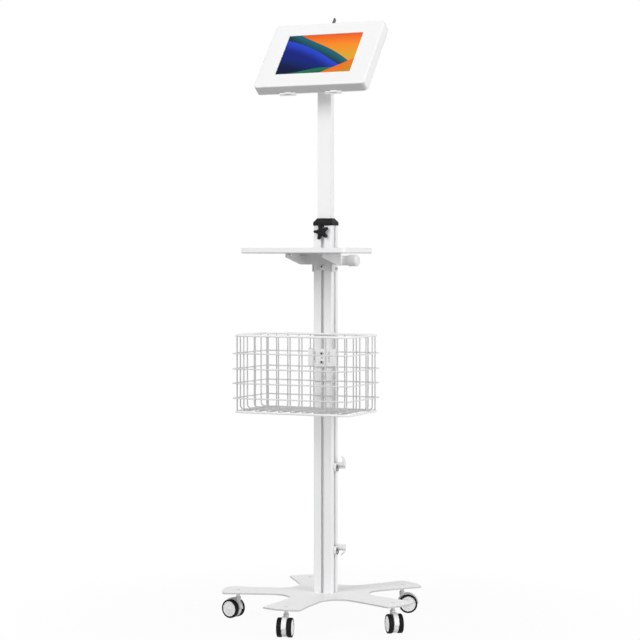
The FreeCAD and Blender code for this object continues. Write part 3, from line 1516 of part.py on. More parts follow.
def make_tablet():
    screen_front = case_front - s.cover_wall - s.screen_gap
    tablet_front = screen_front - s.screen_sheet
    tablet_back = tablet_front - s.tablet_depth
    for name, width, height, back, sheet_depth in (
            ("tablet_body", s.tablet_width, s.tablet_height, tablet_back, s.tablet_depth),
            ("tablet_screen", s.tablet_width - 2 * s.screen_border,
             s.tablet_height - 2 * s.screen_border, tablet_front, s.screen_sheet)):
        body = make_body(name + "_slab")
        sketch = add_sketch(body, name + "_outline", "XZ_Plane", back)
        draw_rectangle(sketch, (-width / 2, width / 2), (-height / 2, height / 2), s.tablet_corner)
        pad(body, sketch, sheet_depth)
        in_head(name, body)
    far_x = s.tablet_width / 2 - s.pad_inset
    far_z = s.tablet_height / 2 - s.pad_inset
    spans = [(-far_x, s.pad_size - far_x), (far_x - s.pad_size, far_x)]
    rises = [(-far_z, s.pad_size - far_z), (far_z - s.pad_size, far_z)]
    pads = [box("corner_pad_%d%d" % (column, row), x, (-tablet_back, -plate_front), z)
            for column, x in enumerate(spans) for row, z in enumerate(rises)]
    in_head("corner_pads", group("corner_pad_set", *pads))


def make_lock():
    centre = (0, lock_y)
    skirt_top = case_half_height
    flange_top = skirt_top + s.barrel_flange
    sleeve = cylinder("barrel_sleeve", "z", s.barrel_radius, barrel_bottom, skirt_top, centre)
    flange = cylinder("barrel_flange_disc", "z", s.barrel_flange_radius, skirt_top, flange_top, centre)
    bore = cylinder("barrel_bore", "z", s.core_radius + s.running_gap,
                    barrel_bottom - 1, flange_top + 1, centre)
    in_head("lock_barrel", cut("barrel", fuse("barrel_solid", sleeve, flange), bore))

    cam_top = barrel_bottom - s.sliding_gap
    cam_bottom = cam_top - s.cam_sheet
    core_solid = cylinder("core_solid", "z", s.core_radius, cam_top, flange_top, centre)
    blade_bottom = flange_top - s.key_blade_length
    keyway_x = s.key_sheet / 2 + s.running_gap
    keyway_y = s.key_blade_width / 2 + s.running_gap
    keyway = box("keyway", (-keyway_x, keyway_x), (lock_y - keyway_y, lock_y + keyway_y),
                 (blade_bottom - s.running_gap, flange_top + 1))
    in_head("lock_core", cut("core", core_solid, keyway))
    in_head("lock_cam", box("cam", (-s.cam_half_width, s.cam_half_width),
                            (lock_y - s.cam_half_width, lock_y + s.cam_length),
                            (cam_bottom, cam_top)))

    body = make_body("key_blank")
    sketch = add_sketch(body, "key_blade", "YZ_Plane")
    half_blade = s.key_blade_width / 2
    bow_bottom = flange_top + s.key_neck
    draw_rectangle(sketch, (lock_y - half_blade, lock_y + half_blade),
                   (blade_bottom, bow_bottom + s.key_bow_corner))
    pad(body, sketch, s.key_sheet, midplane=True)
    bow = add_sketch(body, "key_bow", "YZ_Plane")
    half_bow = s.key_bow_width / 2
    draw_rectangle(bow, (lock_y - half_bow, lock_y + half_bow),
                   (bow_bottom, bow_bottom + s.key_bow_height), s.key_bow_corner)
    pad(body, bow, s.key_sheet, midplane=True)
    hole = cylinder("key_ring_hole", "x", s.key_hole_radius, -s.key_sheet, s.key_sheet,
                    (lock_y, bow_bottom + s.key_bow_height - s.key_hole_wall - s.key_hole_radius))
    in_head("key", cut("key_drilled", body, hole))


def check_document():
    doc.recompute()
    for obj in doc.Objects:
        if "Invalid" in obj.State or "Error" in obj.State:
            raise RuntimeError("%s failed: %s" % (obj.Name, obj.State))
    for node in NODES:
        if node.Shape.isNull() or not node.Shape.isValid():
            raise RuntimeError("%s has no valid shape" % node.Label)


def write_parts():
    os.makedirs("parts", exist_ok=True)
    for node in NODES:
        node.Shape.exportStep("parts/%s.step" % node.Label)
        print("%-26s %2d solids %12.1f mm3" % (node.Label, len(node.Shape.Solids), node.Shape.Volume))


make_casters()
make_base()
make_column()
make_collar()
make_mast()
make_clamp()
make_tray()
make_tray_bracket()
make_handle()
make_basket()
make_basket_plate()
make_hooks()
keep(group("slot_screws", *slot_screws))
keep(group("slot_nuts", *slot_nuts))
make_head_bracket()
make_yoke()
make_swivel()
make_back_plate()
make_cover()
make_tablet()
make_lock()
check_document()
write_parts()
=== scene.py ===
import math
import bmesh
import bpy
from mathutils import Matrix, Vector


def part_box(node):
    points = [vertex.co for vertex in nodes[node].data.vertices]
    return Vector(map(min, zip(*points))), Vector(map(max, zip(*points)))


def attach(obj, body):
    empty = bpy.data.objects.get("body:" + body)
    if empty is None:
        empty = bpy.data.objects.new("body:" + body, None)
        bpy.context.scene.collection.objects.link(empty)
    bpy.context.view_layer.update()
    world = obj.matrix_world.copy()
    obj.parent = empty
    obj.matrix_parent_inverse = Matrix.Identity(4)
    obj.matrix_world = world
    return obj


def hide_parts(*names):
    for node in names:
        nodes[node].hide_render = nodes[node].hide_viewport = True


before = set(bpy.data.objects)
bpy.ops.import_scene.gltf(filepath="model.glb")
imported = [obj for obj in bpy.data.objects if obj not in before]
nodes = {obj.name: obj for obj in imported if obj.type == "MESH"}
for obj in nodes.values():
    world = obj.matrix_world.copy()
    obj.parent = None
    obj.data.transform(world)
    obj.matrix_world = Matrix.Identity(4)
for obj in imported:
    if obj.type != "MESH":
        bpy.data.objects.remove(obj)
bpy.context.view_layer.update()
mm = 0.001
near = 0.0001  # two places this close count as one, in metres
facing = 0.9  # a normal this far along an axis counts as facing that way
ridge = 0.7  # two faces meet at a ridge where the cosine between their normals is under this
slack = 0.3  # how far off its place an edge or a face still counts as on it, in mm
alongX = (0, math.pi / 2, 0)
alongY = (math.pi / 2, 0, 0)
print("frame loaded:", len(nodes), "nodes")


# Camera, floor and lamps

stage = {
    "cameraPlace": (2.1084, -4.4693, 0.9530), "cameraPitch": -1.879, "cameraYaw": 25.433,
    "lens": 106.1, "sensor": 36, "ambient": 0.40,
    "floorRadius": 7.0, "floorSides": 96, "floorDrop": 0.0001, "floorColour": 0.55,
    "floorWhite": 0.955, "fadeStart": 0.35, "fadeEnd": 1.1,  # the floor turns white over this reach
}
lamps = {  # place, where it points, width, height, power
    "keyLamp": ((-1.5, -3.9, 3.3), (0, 0, 0.7), 2.6, 2.6, 109),
    "fillLamp": ((4.2, -1.2, 1.7), (0, 0, 0.8), 2.4, 2.8, 110),
    "topLamp": ((-0.4, 0.6, 4.2), (0, 0, 0.8), 2.4, 2.4, 14),
}


def clearSelection():
    if bpy.context.mode != "OBJECT":
        bpy.ops.object.mode_set(mode="OBJECT")
    bpy.ops.object.select_all(action="DESELECT")


def setValues(node, values):
    for socket, value in values.items():
        node.inputs[socket].default_value = value


def addNode(tree, kind, values=None, **settings):
    node = tree.nodes.new(kind)
    for name, value in settings.items():
        setattr(node, name, value)
    setValues(node, values or {})
    return node


def connect(tree, *wires):
    # A wire is a node, its output, the next node and its input
    for source, output, target, entry in wires:
        tree.links.new(source.outputs[output], target.inputs[entry])


def seenDirectly(tree):
    # 1 for rays of the camera, of a reflection or through a clear part, 0 for rays that light
    rays = addNode(tree, "ShaderNodeLightPath")
    first = addNode(tree, "ShaderNodeMath", operation="MAXIMUM")
    every = addNode(tree, "ShaderNodeMath", operation="MAXIMUM")
    connect(tree, (rays, "Is Camera Ray", first, 0), (rays, "Is Glossy Ray", first, 1),
            (first, 0, every, 0), (rays, "Is Transmission Ray", every, 1))
    return every


def makeCamera():
    clearSelection()
    bpy.ops.object.camera_add(
        location=stage["cameraPlace"],
        rotation=(math.radians(90 + stage["cameraPitch"]), 0, math.radians(stage["cameraYaw"])))
    camera = bpy.context.object
    camera.data.lens = stage["lens"]
    camera.data.sensor_width = stage["sensor"]
    bpy.context.scene.camera = camera
    bpy.context.scene.view_settings.view_transform = "Standard"


def makeLamps():
    for name, (place, target, width, height, power) in lamps.items():
        clearSelection()
        aim = (Vector(target) - Vector(place)).to_track_quat("-Z", "Y").to_euler()
        bpy.ops.object.light_add(type="AREA", location=place, rotation=aim)
        lamp = bpy.context.object
        lamp.name = name
        lamp.data.shape = "RECTANGLE"
        lamp.data.size = width
        lamp.data.size_y = height
        lamp.data.energy = power


def makeSky():
    world = bpy.data.worlds.new("studioWhite")
    bpy.context.scene.world = world
    world.use_nodes = True
    tree = world.node_tree
    tree.nodes.clear()
    strength = addNode(tree, "ShaderNodeMapRange", {"To Min": stage["ambient"], "To Max": 1.0})
    backdrop = addNode(tree, "ShaderNodeBackground", {"Color": (1, 1, 1, 1)})
    out = addNode(tree, "ShaderNodeOutputWorld")
    connect(tree, (seenDirectly(tree), 0, strength, "Value"),
            (strength, "Result", backdrop, "Strength"), (backdrop, "Background", out, "Surface"))


def makeFloor():
    clearSelection()
    bpy.ops.mesh.primitive_circle_add(
        vertices=stage["floorSides"], radius=stage["floorRadius"], fill_type="NGON",
        location=(0, 0, -stage["floorDrop"]))
    floor = bpy.context.object
    floor.name = "paleFloor"
    bpy.ops.object.transform_apply(location=True, rotation=True, scale=True)
    look = bpy.data.materials.new("paleFloor")
    look.use_nodes = True
    tree = look.node_tree
    tree.nodes.clear()
    matte = addNode(tree, "ShaderNodeBsdfDiffuse", {"Color": (stage["floorColour"],) * 3 + (1,)})
    glow = addNode(tree, "ShaderNodeEmission", {"Strength": 1.0})
    place = addNode(tree, "ShaderNodeTexCoord")
    distance = addNode(tree, "ShaderNodeVectorMath", operation="LENGTH")
    fade = addNode(tree, "ShaderNodeMapRange", {
        "From Min": stage["fadeStart"], "From Max": stage["fadeEnd"],
        "To Min": stage["floorWhite"], "To Max": 1.0}, interpolation_type="SMOOTHSTEP")
    share = addNode(tree, "ShaderNodeMath", operation="MULTIPLY")
    blend = addNode(tree, "ShaderNodeMixShader")
    out = addNode(tree, "ShaderNodeOutputMaterial")
    connect(tree, (place, "Object", distance, 0), (distance, "Value", fade, "Value"),
            (fade, "Result", share, 0), (seenDirectly(tree), 0, share, 1),
            (share, 0, blend, "Fac"), (matte, "BSDF", blend, 1), (glow, "Emission", blend, 2),
            (blend, "Shader", out, "Surface"))
    floor.data.materials.append(look)


makeCamera()
makeLamps()
makeSky()
makeFloor()
print("stage ready")


# Surface effects that the finishes share

effects = {
    "driftDetail": 3, "driftFrom": 0.3, "driftTo": 0.7,
    "grainDetail": 2, "grainHeight": 0.0004, "roundSamples": 4,
    "wearFrom": 0.995, "wearTo": 0.85, "wearReach": 1.5,
    "chipDetail": 4, "chipFrom": 0.4, "chipTo": 0.65,
    "ior": 1.46, "coatRoughness": 0.12,  # of every finish that gives none itself
}


def newGroup(name, inputs, outputs):
    group = bpy.data.node_groups.new(name, "ShaderNodeTree")
    for label, kind, value in inputs:
        socket = group.interface.new_socket(name=label, in_out="INPUT", socket_type=kind)
        socket.default_value = value
    for label, kind in outputs:
        group.interface.new_socket(name=label, in_out="OUTPUT", socket_type=kind)
    return group, addNode(group, "NodeGroupInput"), addNode(group, "NodeGroupOutput")


def buildDrift():
    # A colour that drifts a little lighter and darker over the surface
    group, start, end = newGroup(
        "colourDrift",
        [("Color", "NodeSocketColor", (0.8, 0.8, 0.8, 1)), ("Scale", "NodeSocketFloat", 9.0),
         ("Amount", "NodeSocketFloat", 0.04)],
        [("Color", "NodeSocketColor")])
    spot = addNode(group, "ShaderNodeTexCoord")
    noise = addNode(group, "ShaderNodeTexNoise", {"Detail": effects["driftDetail"]})
    low = addNode(group, "ShaderNodeMath", {0: 1.0}, operation="SUBTRACT")
    high = addNode(group, "ShaderNodeMath", {0: 1.0}, operation="ADD")
    level = addNode(group, "ShaderNodeMapRange", {
        "From Min": effects["driftFrom"], "From Max": effects["driftTo"]})
    scaled = addNode(group, "ShaderNodeVectorMath", operation="SCALE")
    connect(group, (spot, "Object", noise, "Vector"), (start, "Scale", noise, "Scale"),
            (start, "Amount", low, 1), (start, "Amount", high, 1), (noise, "Fac", level, "Value"),
            (low, 0, level, "To Min"), (high, 0, level, "To Max"), (start, "Color", scaled, 0),
            (level, "Result", scaled, "Scale"), (scaled, "Vector", end, "Color"))
    return group


def buildGrain():
    # Fine relief: round pimples, or lines drawn out along one axis by the stretch
    group, start, end = newGroup(
        "fineGrain",
        [("Scale", "NodeSocketFloat", 900.0), ("Stretch", "NodeSocketVector", (1, 1, 1)),
         ("Depth", "NodeSocketFloat", 0.1), ("Edge Radius", "NodeSocketFloat", 0.0004)],
        [("Normal", "NodeSocketVector"), ("Height", "NodeSocketFloat")])
    spot = addNode(group, "ShaderNodeTexCoord")
    stretch = addNode(group, "ShaderNodeVectorMath", operation="MULTIPLY")
    noise = addNode(group, "ShaderNodeTexNoise", {"Detail": effects["grainDetail"]})
    rounded = addNode(group, "ShaderNodeBevel", samples=effects["roundSamples"])
    relief = addNode(group, "ShaderNodeBump", {"Distance": effects["grainHeight"]})
    connect(group, (spot, "Object", stretch, 0), (start, "Stretch", stretch, 1),
            (stretch, "Vector", noise, "Vector"), (start, "Scale", noise, "Scale"),
            (start, "Edge Radius", rounded, "Radius"), (rounded, "Normal", relief, "Normal"),
            (noise, "Fac", relief, "Height"), (start, "Depth", relief, "Strength"),
            (relief, "Normal", end, "Normal"), (noise, "Fac", end, "Height"))
    return group


def buildWear():
    # Where an edge is rubbed: the rounded normal leaves the true one, broken up by noise
    group, start, end = newGroup(
        "edgeWear",
        [("Radius", "NodeSocketFloat", 0.0008), ("Scale", "NodeSocketFloat", 120.0)],
        [("Mask", "NodeSocketFloat")])
    spot = addNode(group, "ShaderNodeTexCoord")
    rounded = addNode(group, "ShaderNodeBevel", samples=effects["roundSamples"])
    true = addNode(group, "ShaderNodeNewGeometry")
    match = addNode(group, "ShaderNodeVectorMath", operation="DOT_PRODUCT")
    edge = addNode(group, "ShaderNodeMapRange", {
        "From Min": effects["wearFrom"], "From Max": effects["wearTo"]})
    noise = addNode(group, "ShaderNodeTexNoise", {"Detail": effects["chipDetail"]})
    broken = addNode(group, "ShaderNodeMapRange", {
        "From Min": effects["chipFrom"], "From Max": effects["chipTo"]})
    both = addNode(group, "ShaderNodeMath", operation="MULTIPLY")
    connect(group, (start, "Radius", rounded, "Radius"), (rounded, "Normal", match, 0),
            (true, "Normal", match, 1), (match, "Value", edge, "Value"),
            (spot, "Object", noise, "Vector"), (start, "Scale", noise, "Scale"),
            (noise, "Fac", broken, "Value"), (edge, "Result", both, 0),
            (broken, "Result", both, 1), (both, 0, end, "Mask"))
    return group


def buildPaintedShade():
    # Painted shade on sides or undersides: a share of the colour is left
    # where the normal's height is under the shaded one, and all of it above the unshaded one
    group, start, end = newGroup(
        "paintedUndersideShade",
        [("Color", "NodeSocketColor", (0.8, 0.8, 0.8, 1)), ("UnshadedAbove", "NodeSocketFloat", 0.0),
         ("ShadedBelow", "NodeSocketFloat", -0.5), ("Share", "NodeSocketFloat", 0.7)],
        [("Color", "NodeSocketColor")])
    spot = addNode(group, "ShaderNodeTexCoord")
    axes = addNode(group, "ShaderNodeSeparateXYZ")
    level = addNode(group, "ShaderNodeMapRange")
    scaled = addNode(group, "ShaderNodeVectorMath", operation="SCALE")
    connect(group, (spot, "Normal", axes, "Vector"), (axes, "Z", level, "Value"),
            (start, "ShadedBelow", level, "From Min"), (start, "UnshadedAbove", level, "From Max"),
            (start, "Share", level, "To Min"), (start, "Color", scaled, 0),
            (level, "Result", scaled, "Scale"), (scaled, "Vector", end, "Color"))
    return group


colourDrift = buildDrift()
fineGrain = buildGrain()
edgeWear = buildWear()
paintedUndersideShade = buildPaintedShade()


# Finishes. Colours are linear; grain is bumps per metre, depth the bump's strength

finishes = {
    "whiteCoat": {
        "colour": (0.865, 0.868, 0.872), "worn": (0.78, 0.78, 0.78), "roughness": (0.34, 0.44),
        "grain": 1100, "depth": 0.10, "drift": 0.012, "driftScale": 7, "edge": 0.0006},
    # the white coat painted darker, as painted shade on the basket's loops
    "loopCoatPaintedShade": {
        "colour": (0.72, 0.723, 0.727), "worn": (0.74, 0.74, 0.74), "roughness": (0.24, 0.34),
        "grain": 1100, "depth": 0.06, "drift": 0.012, "driftScale": 7, "edge": 0.0004,
        "coat": 0.4},
    # the white coat painted darker, as painted shade on the basket's uprights
    "wireCoatPaintedShade": {
        "colour": (0.50, 0.503, 0.507), "worn": (0.60, 0.60, 0.60), "roughness": (0.22, 0.32),
        "grain": 1100, "depth": 0.06, "drift": 0.012, "driftScale": 7, "edge": 0.0004,
        "coat": 0.6},
    "whiteAnodised": {
        "colour": (0.885, 0.888, 0.892), "worn": (0.78, 0.78, 0.785), "roughness": (0.30, 0.42),
        "grain": 1500, "depth": 0.10, "drift": 0.012, "driftScale": 5, "edge": 0.0005,
        "stretch": (1, 1, 0.008)},
    "greySheet": {
        "colour": (0.75, 0.75, 0.755), "worn": (0.78, 0.78, 0.785), "roughness": (0.36, 0.5),
        "grain": 1300, "depth": 0.14, "drift": 0.03, "driftScale": 14, "edge": 0.0006},
    "blackPlastic": {
        "colour": (0.009, 0.009, 0.010), "worn": (0.030, 0.030, 0.032), "roughness": (0.46, 0.60),
        "grain": 2200, "depth": 0.28, "drift": 0.08, "driftScale": 30, "edge": 0.0005,
        "ior": 1.24},
    "hoodPlastic": {
        "colour": (0.91, 0.913, 0.917), "worn": (0.82, 0.82, 0.825), "roughness": (0.36, 0.5),
        "grain": 1500, "depth": 0.12, "drift": 0.03, "driftScale": 25, "edge": 0.0006},
    "hubPlastic": {
        "colour": (0.93, 0.935, 0.94), "worn": (0.84, 0.84, 0.845), "roughness": (0.38, 0.52),
        "grain": 1700, "depth": 0.14, "drift": 0.03, "driftScale": 30, "edge": 0.0004},
    "whitePlastic": {
        "colour": (0.80, 0.805, 0.81), "worn": (0.70, 0.70, 0.70), "roughness": (0.38, 0.5),
        "grain": 1600, "depth": 0.16, "drift": 0.02, "driftScale": 20, "edge": 0.0005},
    "nylon": {
        "colour": (0.62, 0.61, 0.58), "worn": (0.5, 0.49, 0.47), "roughness": (0.4, 0.55),
        "grain": 1400, "depth": 0.12, "drift": 0.04, "driftScale": 30, "edge": 0.0004},
    "zincSteel": {
        "colour": (0.52, 0.52, 0.53), "worn": (0.66, 0.66, 0.66), "roughness": (0.26, 0.42),
        "grain": 2600, "depth": 0.12, "drift": 0.05, "driftScale": 60, "edge": 0.0003,
        "metallic": 1.0},
    "screwSteel": {
        "colour": (0.50, 0.50, 0.51), "worn": (0.64, 0.64, 0.64), "roughness": (0.30, 0.44),
        "grain": 2600, "depth": 0.10, "drift": 0.04, "driftScale": 60, "edge": 0.0003,
        "metallic": 0.8, "socketShade": (0.012, 0.012, 0.013)},
    "darkSteel": {
        "colour": (0.10, 0.10, 0.105), "worn": (0.3, 0.3, 0.31), "roughness": (0.3, 0.45),
        "grain": 2600, "depth": 0.14, "drift": 0.06, "driftScale": 60, "edge": 0.0003,
        "metallic": 1.0},
    "tyreRubber": {
        "colour": (0.008, 0.008, 0.009), "worn": (0.02, 0.02, 0.02), "roughness": (0.55, 0.7),
        "grain": 1500, "depth": 0.2, "drift": 0.1, "driftScale": 40, "edge": 0.0006,
        "ior": 1.22},
    "blackRubber": {
        "colour": (0.025, 0.025, 0.025), "worn": (0.05, 0.05, 0.05), "roughness": (0.6, 0.75),
        "grain": 1300, "depth": 0.2, "drift": 0.1, "driftScale": 40, "edge": 0.0005},
    "tabletShell": {
        "colour": (0.32, 0.325, 0.335), "worn": (0.5, 0.5, 0.51), "roughness": (0.3, 0.4),
        "grain": 3000, "depth": 0.08, "drift": 0.02, "driftScale": 12, "edge": 0.0004,
        "metallic": 1.0},
}
paintedShadeCoats = {  # white coat with painted shade below: unshaded height, shaded height, share of colour left
    "baseCoat": (0.80, 0.30, 0.70),
    "coverCoat": (-0.25, -0.65, 0.62),
    "trayCoat": (-0.05, -0.50, 0.60),
}
for name, paintedShade in paintedShadeCoats.items():
    finishes[name] = dict(finishes["whiteCoat"], paintedShade=paintedShade)


def makeFinish(name, look):
    material = bpy.data.materials.new(name)
    material.use_nodes = True
    tree = material.node_tree
    shader = tree.nodes["Principled BSDF"]
    setValues(shader, {
        "Metallic": look.get("metallic", 0.0), "IOR": look.get("ior", effects["ior"]),
        "Coat Weight": look.get("coat", 0.0), "Coat Roughness": effects["coatRoughness"]})
    drift = addNode(tree, "ShaderNodeGroup", {
        "Color": look["colour"] + (1,), "Scale": look["driftScale"], "Amount": look["drift"],
    }, node_tree=colourDrift)
    wear = addNode(tree, "ShaderNodeGroup", {"Radius": look["edge"] * effects["wearReach"]},
                   node_tree=edgeWear)
    rubbed = addNode(tree, "ShaderNodeMix", {"B": look["worn"] + (1,)}, data_type="RGBA")
    grain = addNode(tree, "ShaderNodeGroup", {
        "Scale": look["grain"], "Stretch": look.get("stretch", (1, 1, 1)),
        "Depth": look["depth"], "Edge Radius": look["edge"],
    }, node_tree=fineGrain)
    smoothest, roughest = look["roughness"]
    gloss = addNode(tree, "ShaderNodeMapRange", {"To Min": smoothest, "To Max": roughest})
    connect(tree, (wear, "Mask", rubbed, "Factor"), (drift, "Color", rubbed, "A"),
            (grain, "Height", gloss, "Value"), (gloss, "Result", shader, "Roughness"),
            (grain, "Normal", shader, "Normal"))
    coloured = (rubbed, "Result")
    if "socketShade" in look:  # the key's socket is marked on the mesh and lies in shadow
        mark = addNode(tree, "ShaderNodeAttribute", attribute_name="socketMark")
        shaded = addNode(tree, "ShaderNodeMix", {"B": look["socketShade"] + (1,)},
                         data_type="RGBA")
        connect(tree, (mark, "Fac", shaded, "Factor"), (*coloured, shaded, "A"))
        coloured = (shaded, "Result")
    # painted shade: the colour darkens on sides and undersides, by the normal's height
    if "paintedShade" in look:
        unshadedAbove, shadedBelow, share = look["paintedShade"]
        paintedShade = addNode(tree, "ShaderNodeGroup", {"UnshadedAbove": unshadedAbove, "ShadedBelow": shadedBelow, "Share": share},
                       node_tree=paintedUndersideShade)
        connect(tree, (*coloured, paintedShade, "Color"))
        coloured = (paintedShade, "Color")
    connect(tree, (*coloured, shader, "Base Color"))
    return material


materials = {name: makeFinish(name, look) for name, look in finishes.items()}


# The tablet's picture: rolling hills under a warm sky, in the plane of the tilted screen

picture = {
    "pivot": (0, 0, 1.450), "tilt": -38.6, "halfWidth": 0.1064, "halfHeight": 0.0693,
    "surface": {"Roughness": 0.12, "IOR": 1.25, "Specular IOR Level": 0.25,
                "Emission Strength": 0.92},
    "unlit": 0.05,  # share of the picture's colour that the switched-off screen would have
    "sky": [(0.0, (0.78, 0.38, 0.020)), (0.50, (0.96, 0.27, 0.010)), (1.0, (0.90, 0.10, 0.006))],
    "skyLow": -0.1, "edge": 0.006, "fold": 0.55,
    "hills": [  # level, slope, swell, swells across, phase, colour at the crest, colour below
        (0.42, -1.05, 0.10, 2.6, 0.4, (0.010, 0.130, 0.170), (0.002, 0.030, 0.060)),
        (-0.02, -0.78, 0.13, 2.2, 2.4, (0.018, 0.060, 0.620), (0.004, 0.014, 0.200)),
        (-0.50, -0.30, 0.12, 2.9, 4.1, (0.001, 0.016, 0.160), (0.000, 0.005, 0.050)),
        (-0.80, 0.10, 0.07, 3.4, 0.9, (0.012, 0.170, 0.080), (0.002, 0.040, 0.030)),
        (-1.22, 1.02, 0.07, 3.0, 1.6, (0.920, 0.170, 0.010), (0.620, 0.260, 0.012)),
    ],
}


def layHill(tree, across, upward, painted, hill):
    # Lays one hill over what is painted so far: its crest is a sloped line with a swell
    level, slope, swell, count, phase, crest, below = hill
    wave = addNode(tree, "ShaderNodeMath", {1: count, 2: phase}, operation="MULTIPLY_ADD")
    bend = addNode(tree, "ShaderNodeMath", operation="SINE")
    line = addNode(tree, "ShaderNodeMath", {1: swell}, operation="MULTIPLY_ADD")
    tilt = addNode(tree, "ShaderNodeMath", {1: slope, 2: level}, operation="MULTIPLY_ADD")
    depth = addNode(tree, "ShaderNodeMath", operation="SUBTRACT")
    inside = addNode(tree, "ShaderNodeMapRange", {
        "From Min": -picture["edge"], "From Max": picture["edge"]})
    shade = addNode(tree, "ShaderNodeMapRange", {"From Max": picture["fold"]},
                    interpolation_type="SMOOTHSTEP")
    body = addNode(tree, "ShaderNodeMix", {"A": crest + (1,), "B": below + (1,)},
                   data_type="RGBA")
    laid = addNode(tree, "ShaderNodeMix", data_type="RGBA")
    connect(tree, (across, 0, wave, 0), (wave, 0, bend, 0), (bend, 0, line, 0),
            (across, 0, tilt, 0), (tilt, 0, line, 2), (line, 0, depth, 0), (upward, 0, depth, 1),
            (depth, 0, inside, "Value"), (depth, 0, shade, "Value"),
            (shade, "Result", body, "Factor"), (inside, "Result", laid, "Factor"),
            (*painted, laid, "A"), (body, "Result", laid, "B"))
    return laid, "Result"


def makePicture():
    material = bpy.data.materials.new("screenPicture")
    material.use_nodes = True
    tree = material.node_tree
    shader = tree.nodes["Principled BSDF"]
    setValues(shader, picture["surface"])
    spot = addNode(tree, "ShaderNodeTexCoord")
    turned = addNode(tree, "ShaderNodeMapping", {
        "Location": picture["pivot"], "Rotation": (math.radians(picture["tilt"]), 0, 0),
    }, vector_type="TEXTURE")
    axes = addNode(tree, "ShaderNodeSeparateXYZ")
    across = addNode(tree, "ShaderNodeMath", {1: picture["halfWidth"]}, operation="DIVIDE")
    upward = addNode(tree, "ShaderNodeMath", {1: picture["halfHeight"]}, operation="DIVIDE")
    height = addNode(tree, "ShaderNodeMapRange", {"From Min": picture["skyLow"], "From Max": 1.0})
    sky = addNode(tree, "ShaderNodeValToRGB")
    stops = sky.color_ramp.elements
    while len(stops) < len(picture["sky"]):
        stops.new(0.5)
    for stop, (position, colour) in zip(stops, picture["sky"]):
        stop.position = position
        stop.color = colour + (1,)
    connect(tree, (spot, "Object", turned, "Vector"), (turned, "Vector", axes, "Vector"),
            (axes, "X", across, 0), (axes, "Z", upward, 0), (upward, 0, height, "Value"),
            (height, "Result", sky, "Fac"))
    painted = (sky, "Color")
    for hill in picture["hills"]:
        painted = layHill(tree, across, upward, painted, hill)
    dark = addNode(tree, "ShaderNodeMix", {"Factor": 1.0, "B": (picture["unlit"],) * 3 + (1,)},
                   data_type="RGBA", blend_type="MULTIPLY")
    connect(tree, (*painted, dark, "A"), (dark, "Result", shader, "Base Color"),
            (*painted, shader, "Emission Color"))
    return material


materials["screenPicture"] = makePicture()

slotFinish = {
    "white_coated_steel": "whiteCoat", "white_coated_aluminium": "whiteAnodised",
    "grey_steel_sheet": "greySheet", "black_plastic": "blackPlastic",
    "light_grey_plastic": "hoodPlastic", "white_plastic": "whitePlastic", "nylon": "nylon",
    "zinc_steel": "zincSteel", "tyre": "tyreRubber", "tablet_shell": "tabletShell",
    "tablet_glass": "screenPicture", "black_rubber": "blackRubber",
}
slotOf = {}
for nodeName, node in nodes.items():
    slotOf[nodeName] = node.material_slots[0].material.name
    for spot in node.material_slots:
        spot.material = materials[slotFinish[slotOf[nodeName]]]
print("finishes ready:", len(materials))


# Modelling helpers. Sizes given to them are in mm; an extrusion's move and any place or length
# read from a mesh are in metres

softening = {  # the merging distance in mm, angles in degrees
    "merge": 0.002, "flatWithin": 1, "roundAbove": 35, "smoothBelow": 38, "steps": 2,
    "flatWeight": 100,
}


def setMode(mode):
    bpy.ops.object.mode_set(mode=mode)


def selectInEdit(kind, test):
    bpy.ops.mesh.select_mode(type=kind)
    bpy.ops.mesh.select_all(action="DESELECT")
    mesh = bpy.context.object.data
    edit = bmesh.from_edit_mesh(mesh)
    for item in {"VERT": edit.verts, "EDGE": edit.edges, "FACE": edit.faces}[kind]:
        if test(item):
            item.select_set(True)
    edit.select_flush_mode()
    bmesh.update_edit_mesh(mesh)


def extrude(move):
    bpy.ops.mesh.extrude_region_move(TRANSFORM_OT_translate={"value": move})


def bevelEdges(test, size, steps, clamp=False):
    selectInEdit("EDGE", test)
    bpy.ops.mesh.bevel(offset=size * mm, segments=steps, affect="EDGES", clamp_overlap=clamp)


def middle(edge):
    return (edge.verts[0].co + edge.verts[1].co) / 2


def levelInX(edge):
    return abs(edge.verts[0].co.x - edge.verts[1].co.x) < near


def isRidge(edge):
    faces = edge.link_faces
    return len(faces) == 2 and faces[0].normal.dot(faces[1].normal) < ridge


def makeActive(piece):
    clearSelection()
    piece.select_set(True)
    bpy.context.view_layer.objects.active = piece


def applyPlace(piece):
    makeActive(piece)
    bpy.ops.object.transform_apply(location=True, rotation=True, scale=True)


def addCylinder(sides, radius, length, place=(0, 0, 0), turn=(0, 0, 0)):
    clearSelection()
    bpy.ops.mesh.primitive_cylinder_add(vertices=sides, radius=radius * mm, depth=length * mm,
                                        rotation=turn, location=Vector(place) * mm)
    cylinder = bpy.context.object
    applyPlace(cylinder)
    return cylinder


def copyPiece(piece, matrix):
    makeActive(piece)
    bpy.ops.object.duplicate()
    copy = bpy.context.object
    copy.matrix_world = matrix @ copy.matrix_world
    applyPlace(copy)
    return copy


def joinPieces(pieces):
    makeActive(pieces[0])
    for piece in pieces:
        piece.select_set(True)
    bpy.ops.object.join()
    return bpy.context.object


def dropPiece(piece):
    makeActive(piece)
    bpy.ops.object.delete()


def cutAway(piece, tool, label):
    makeActive(piece)
    cut = piece.modifiers.new(label, "BOOLEAN")
    cut.operation = "DIFFERENCE"
    cut.object = tool
    cut.solver = "EXACT"
    bpy.ops.object.modifier_apply(modifier=label)
    dropPiece(tool)


def shift(x=0, y=0, z=0):
    return Matrix.Translation(Vector((x, y, z)) * mm)


def finishPiece(piece, name, finish, body, replaced, smooth=35):
    applyPlace(piece)
    bpy.ops.object.shade_smooth_by_angle(angle=math.radians(smooth))
    piece.name = name
    piece.data.name = name
    piece.data.materials.clear()
    piece.data.materials.append(materials[finish])
    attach(piece, body)
    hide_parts(*replaced)
    return piece


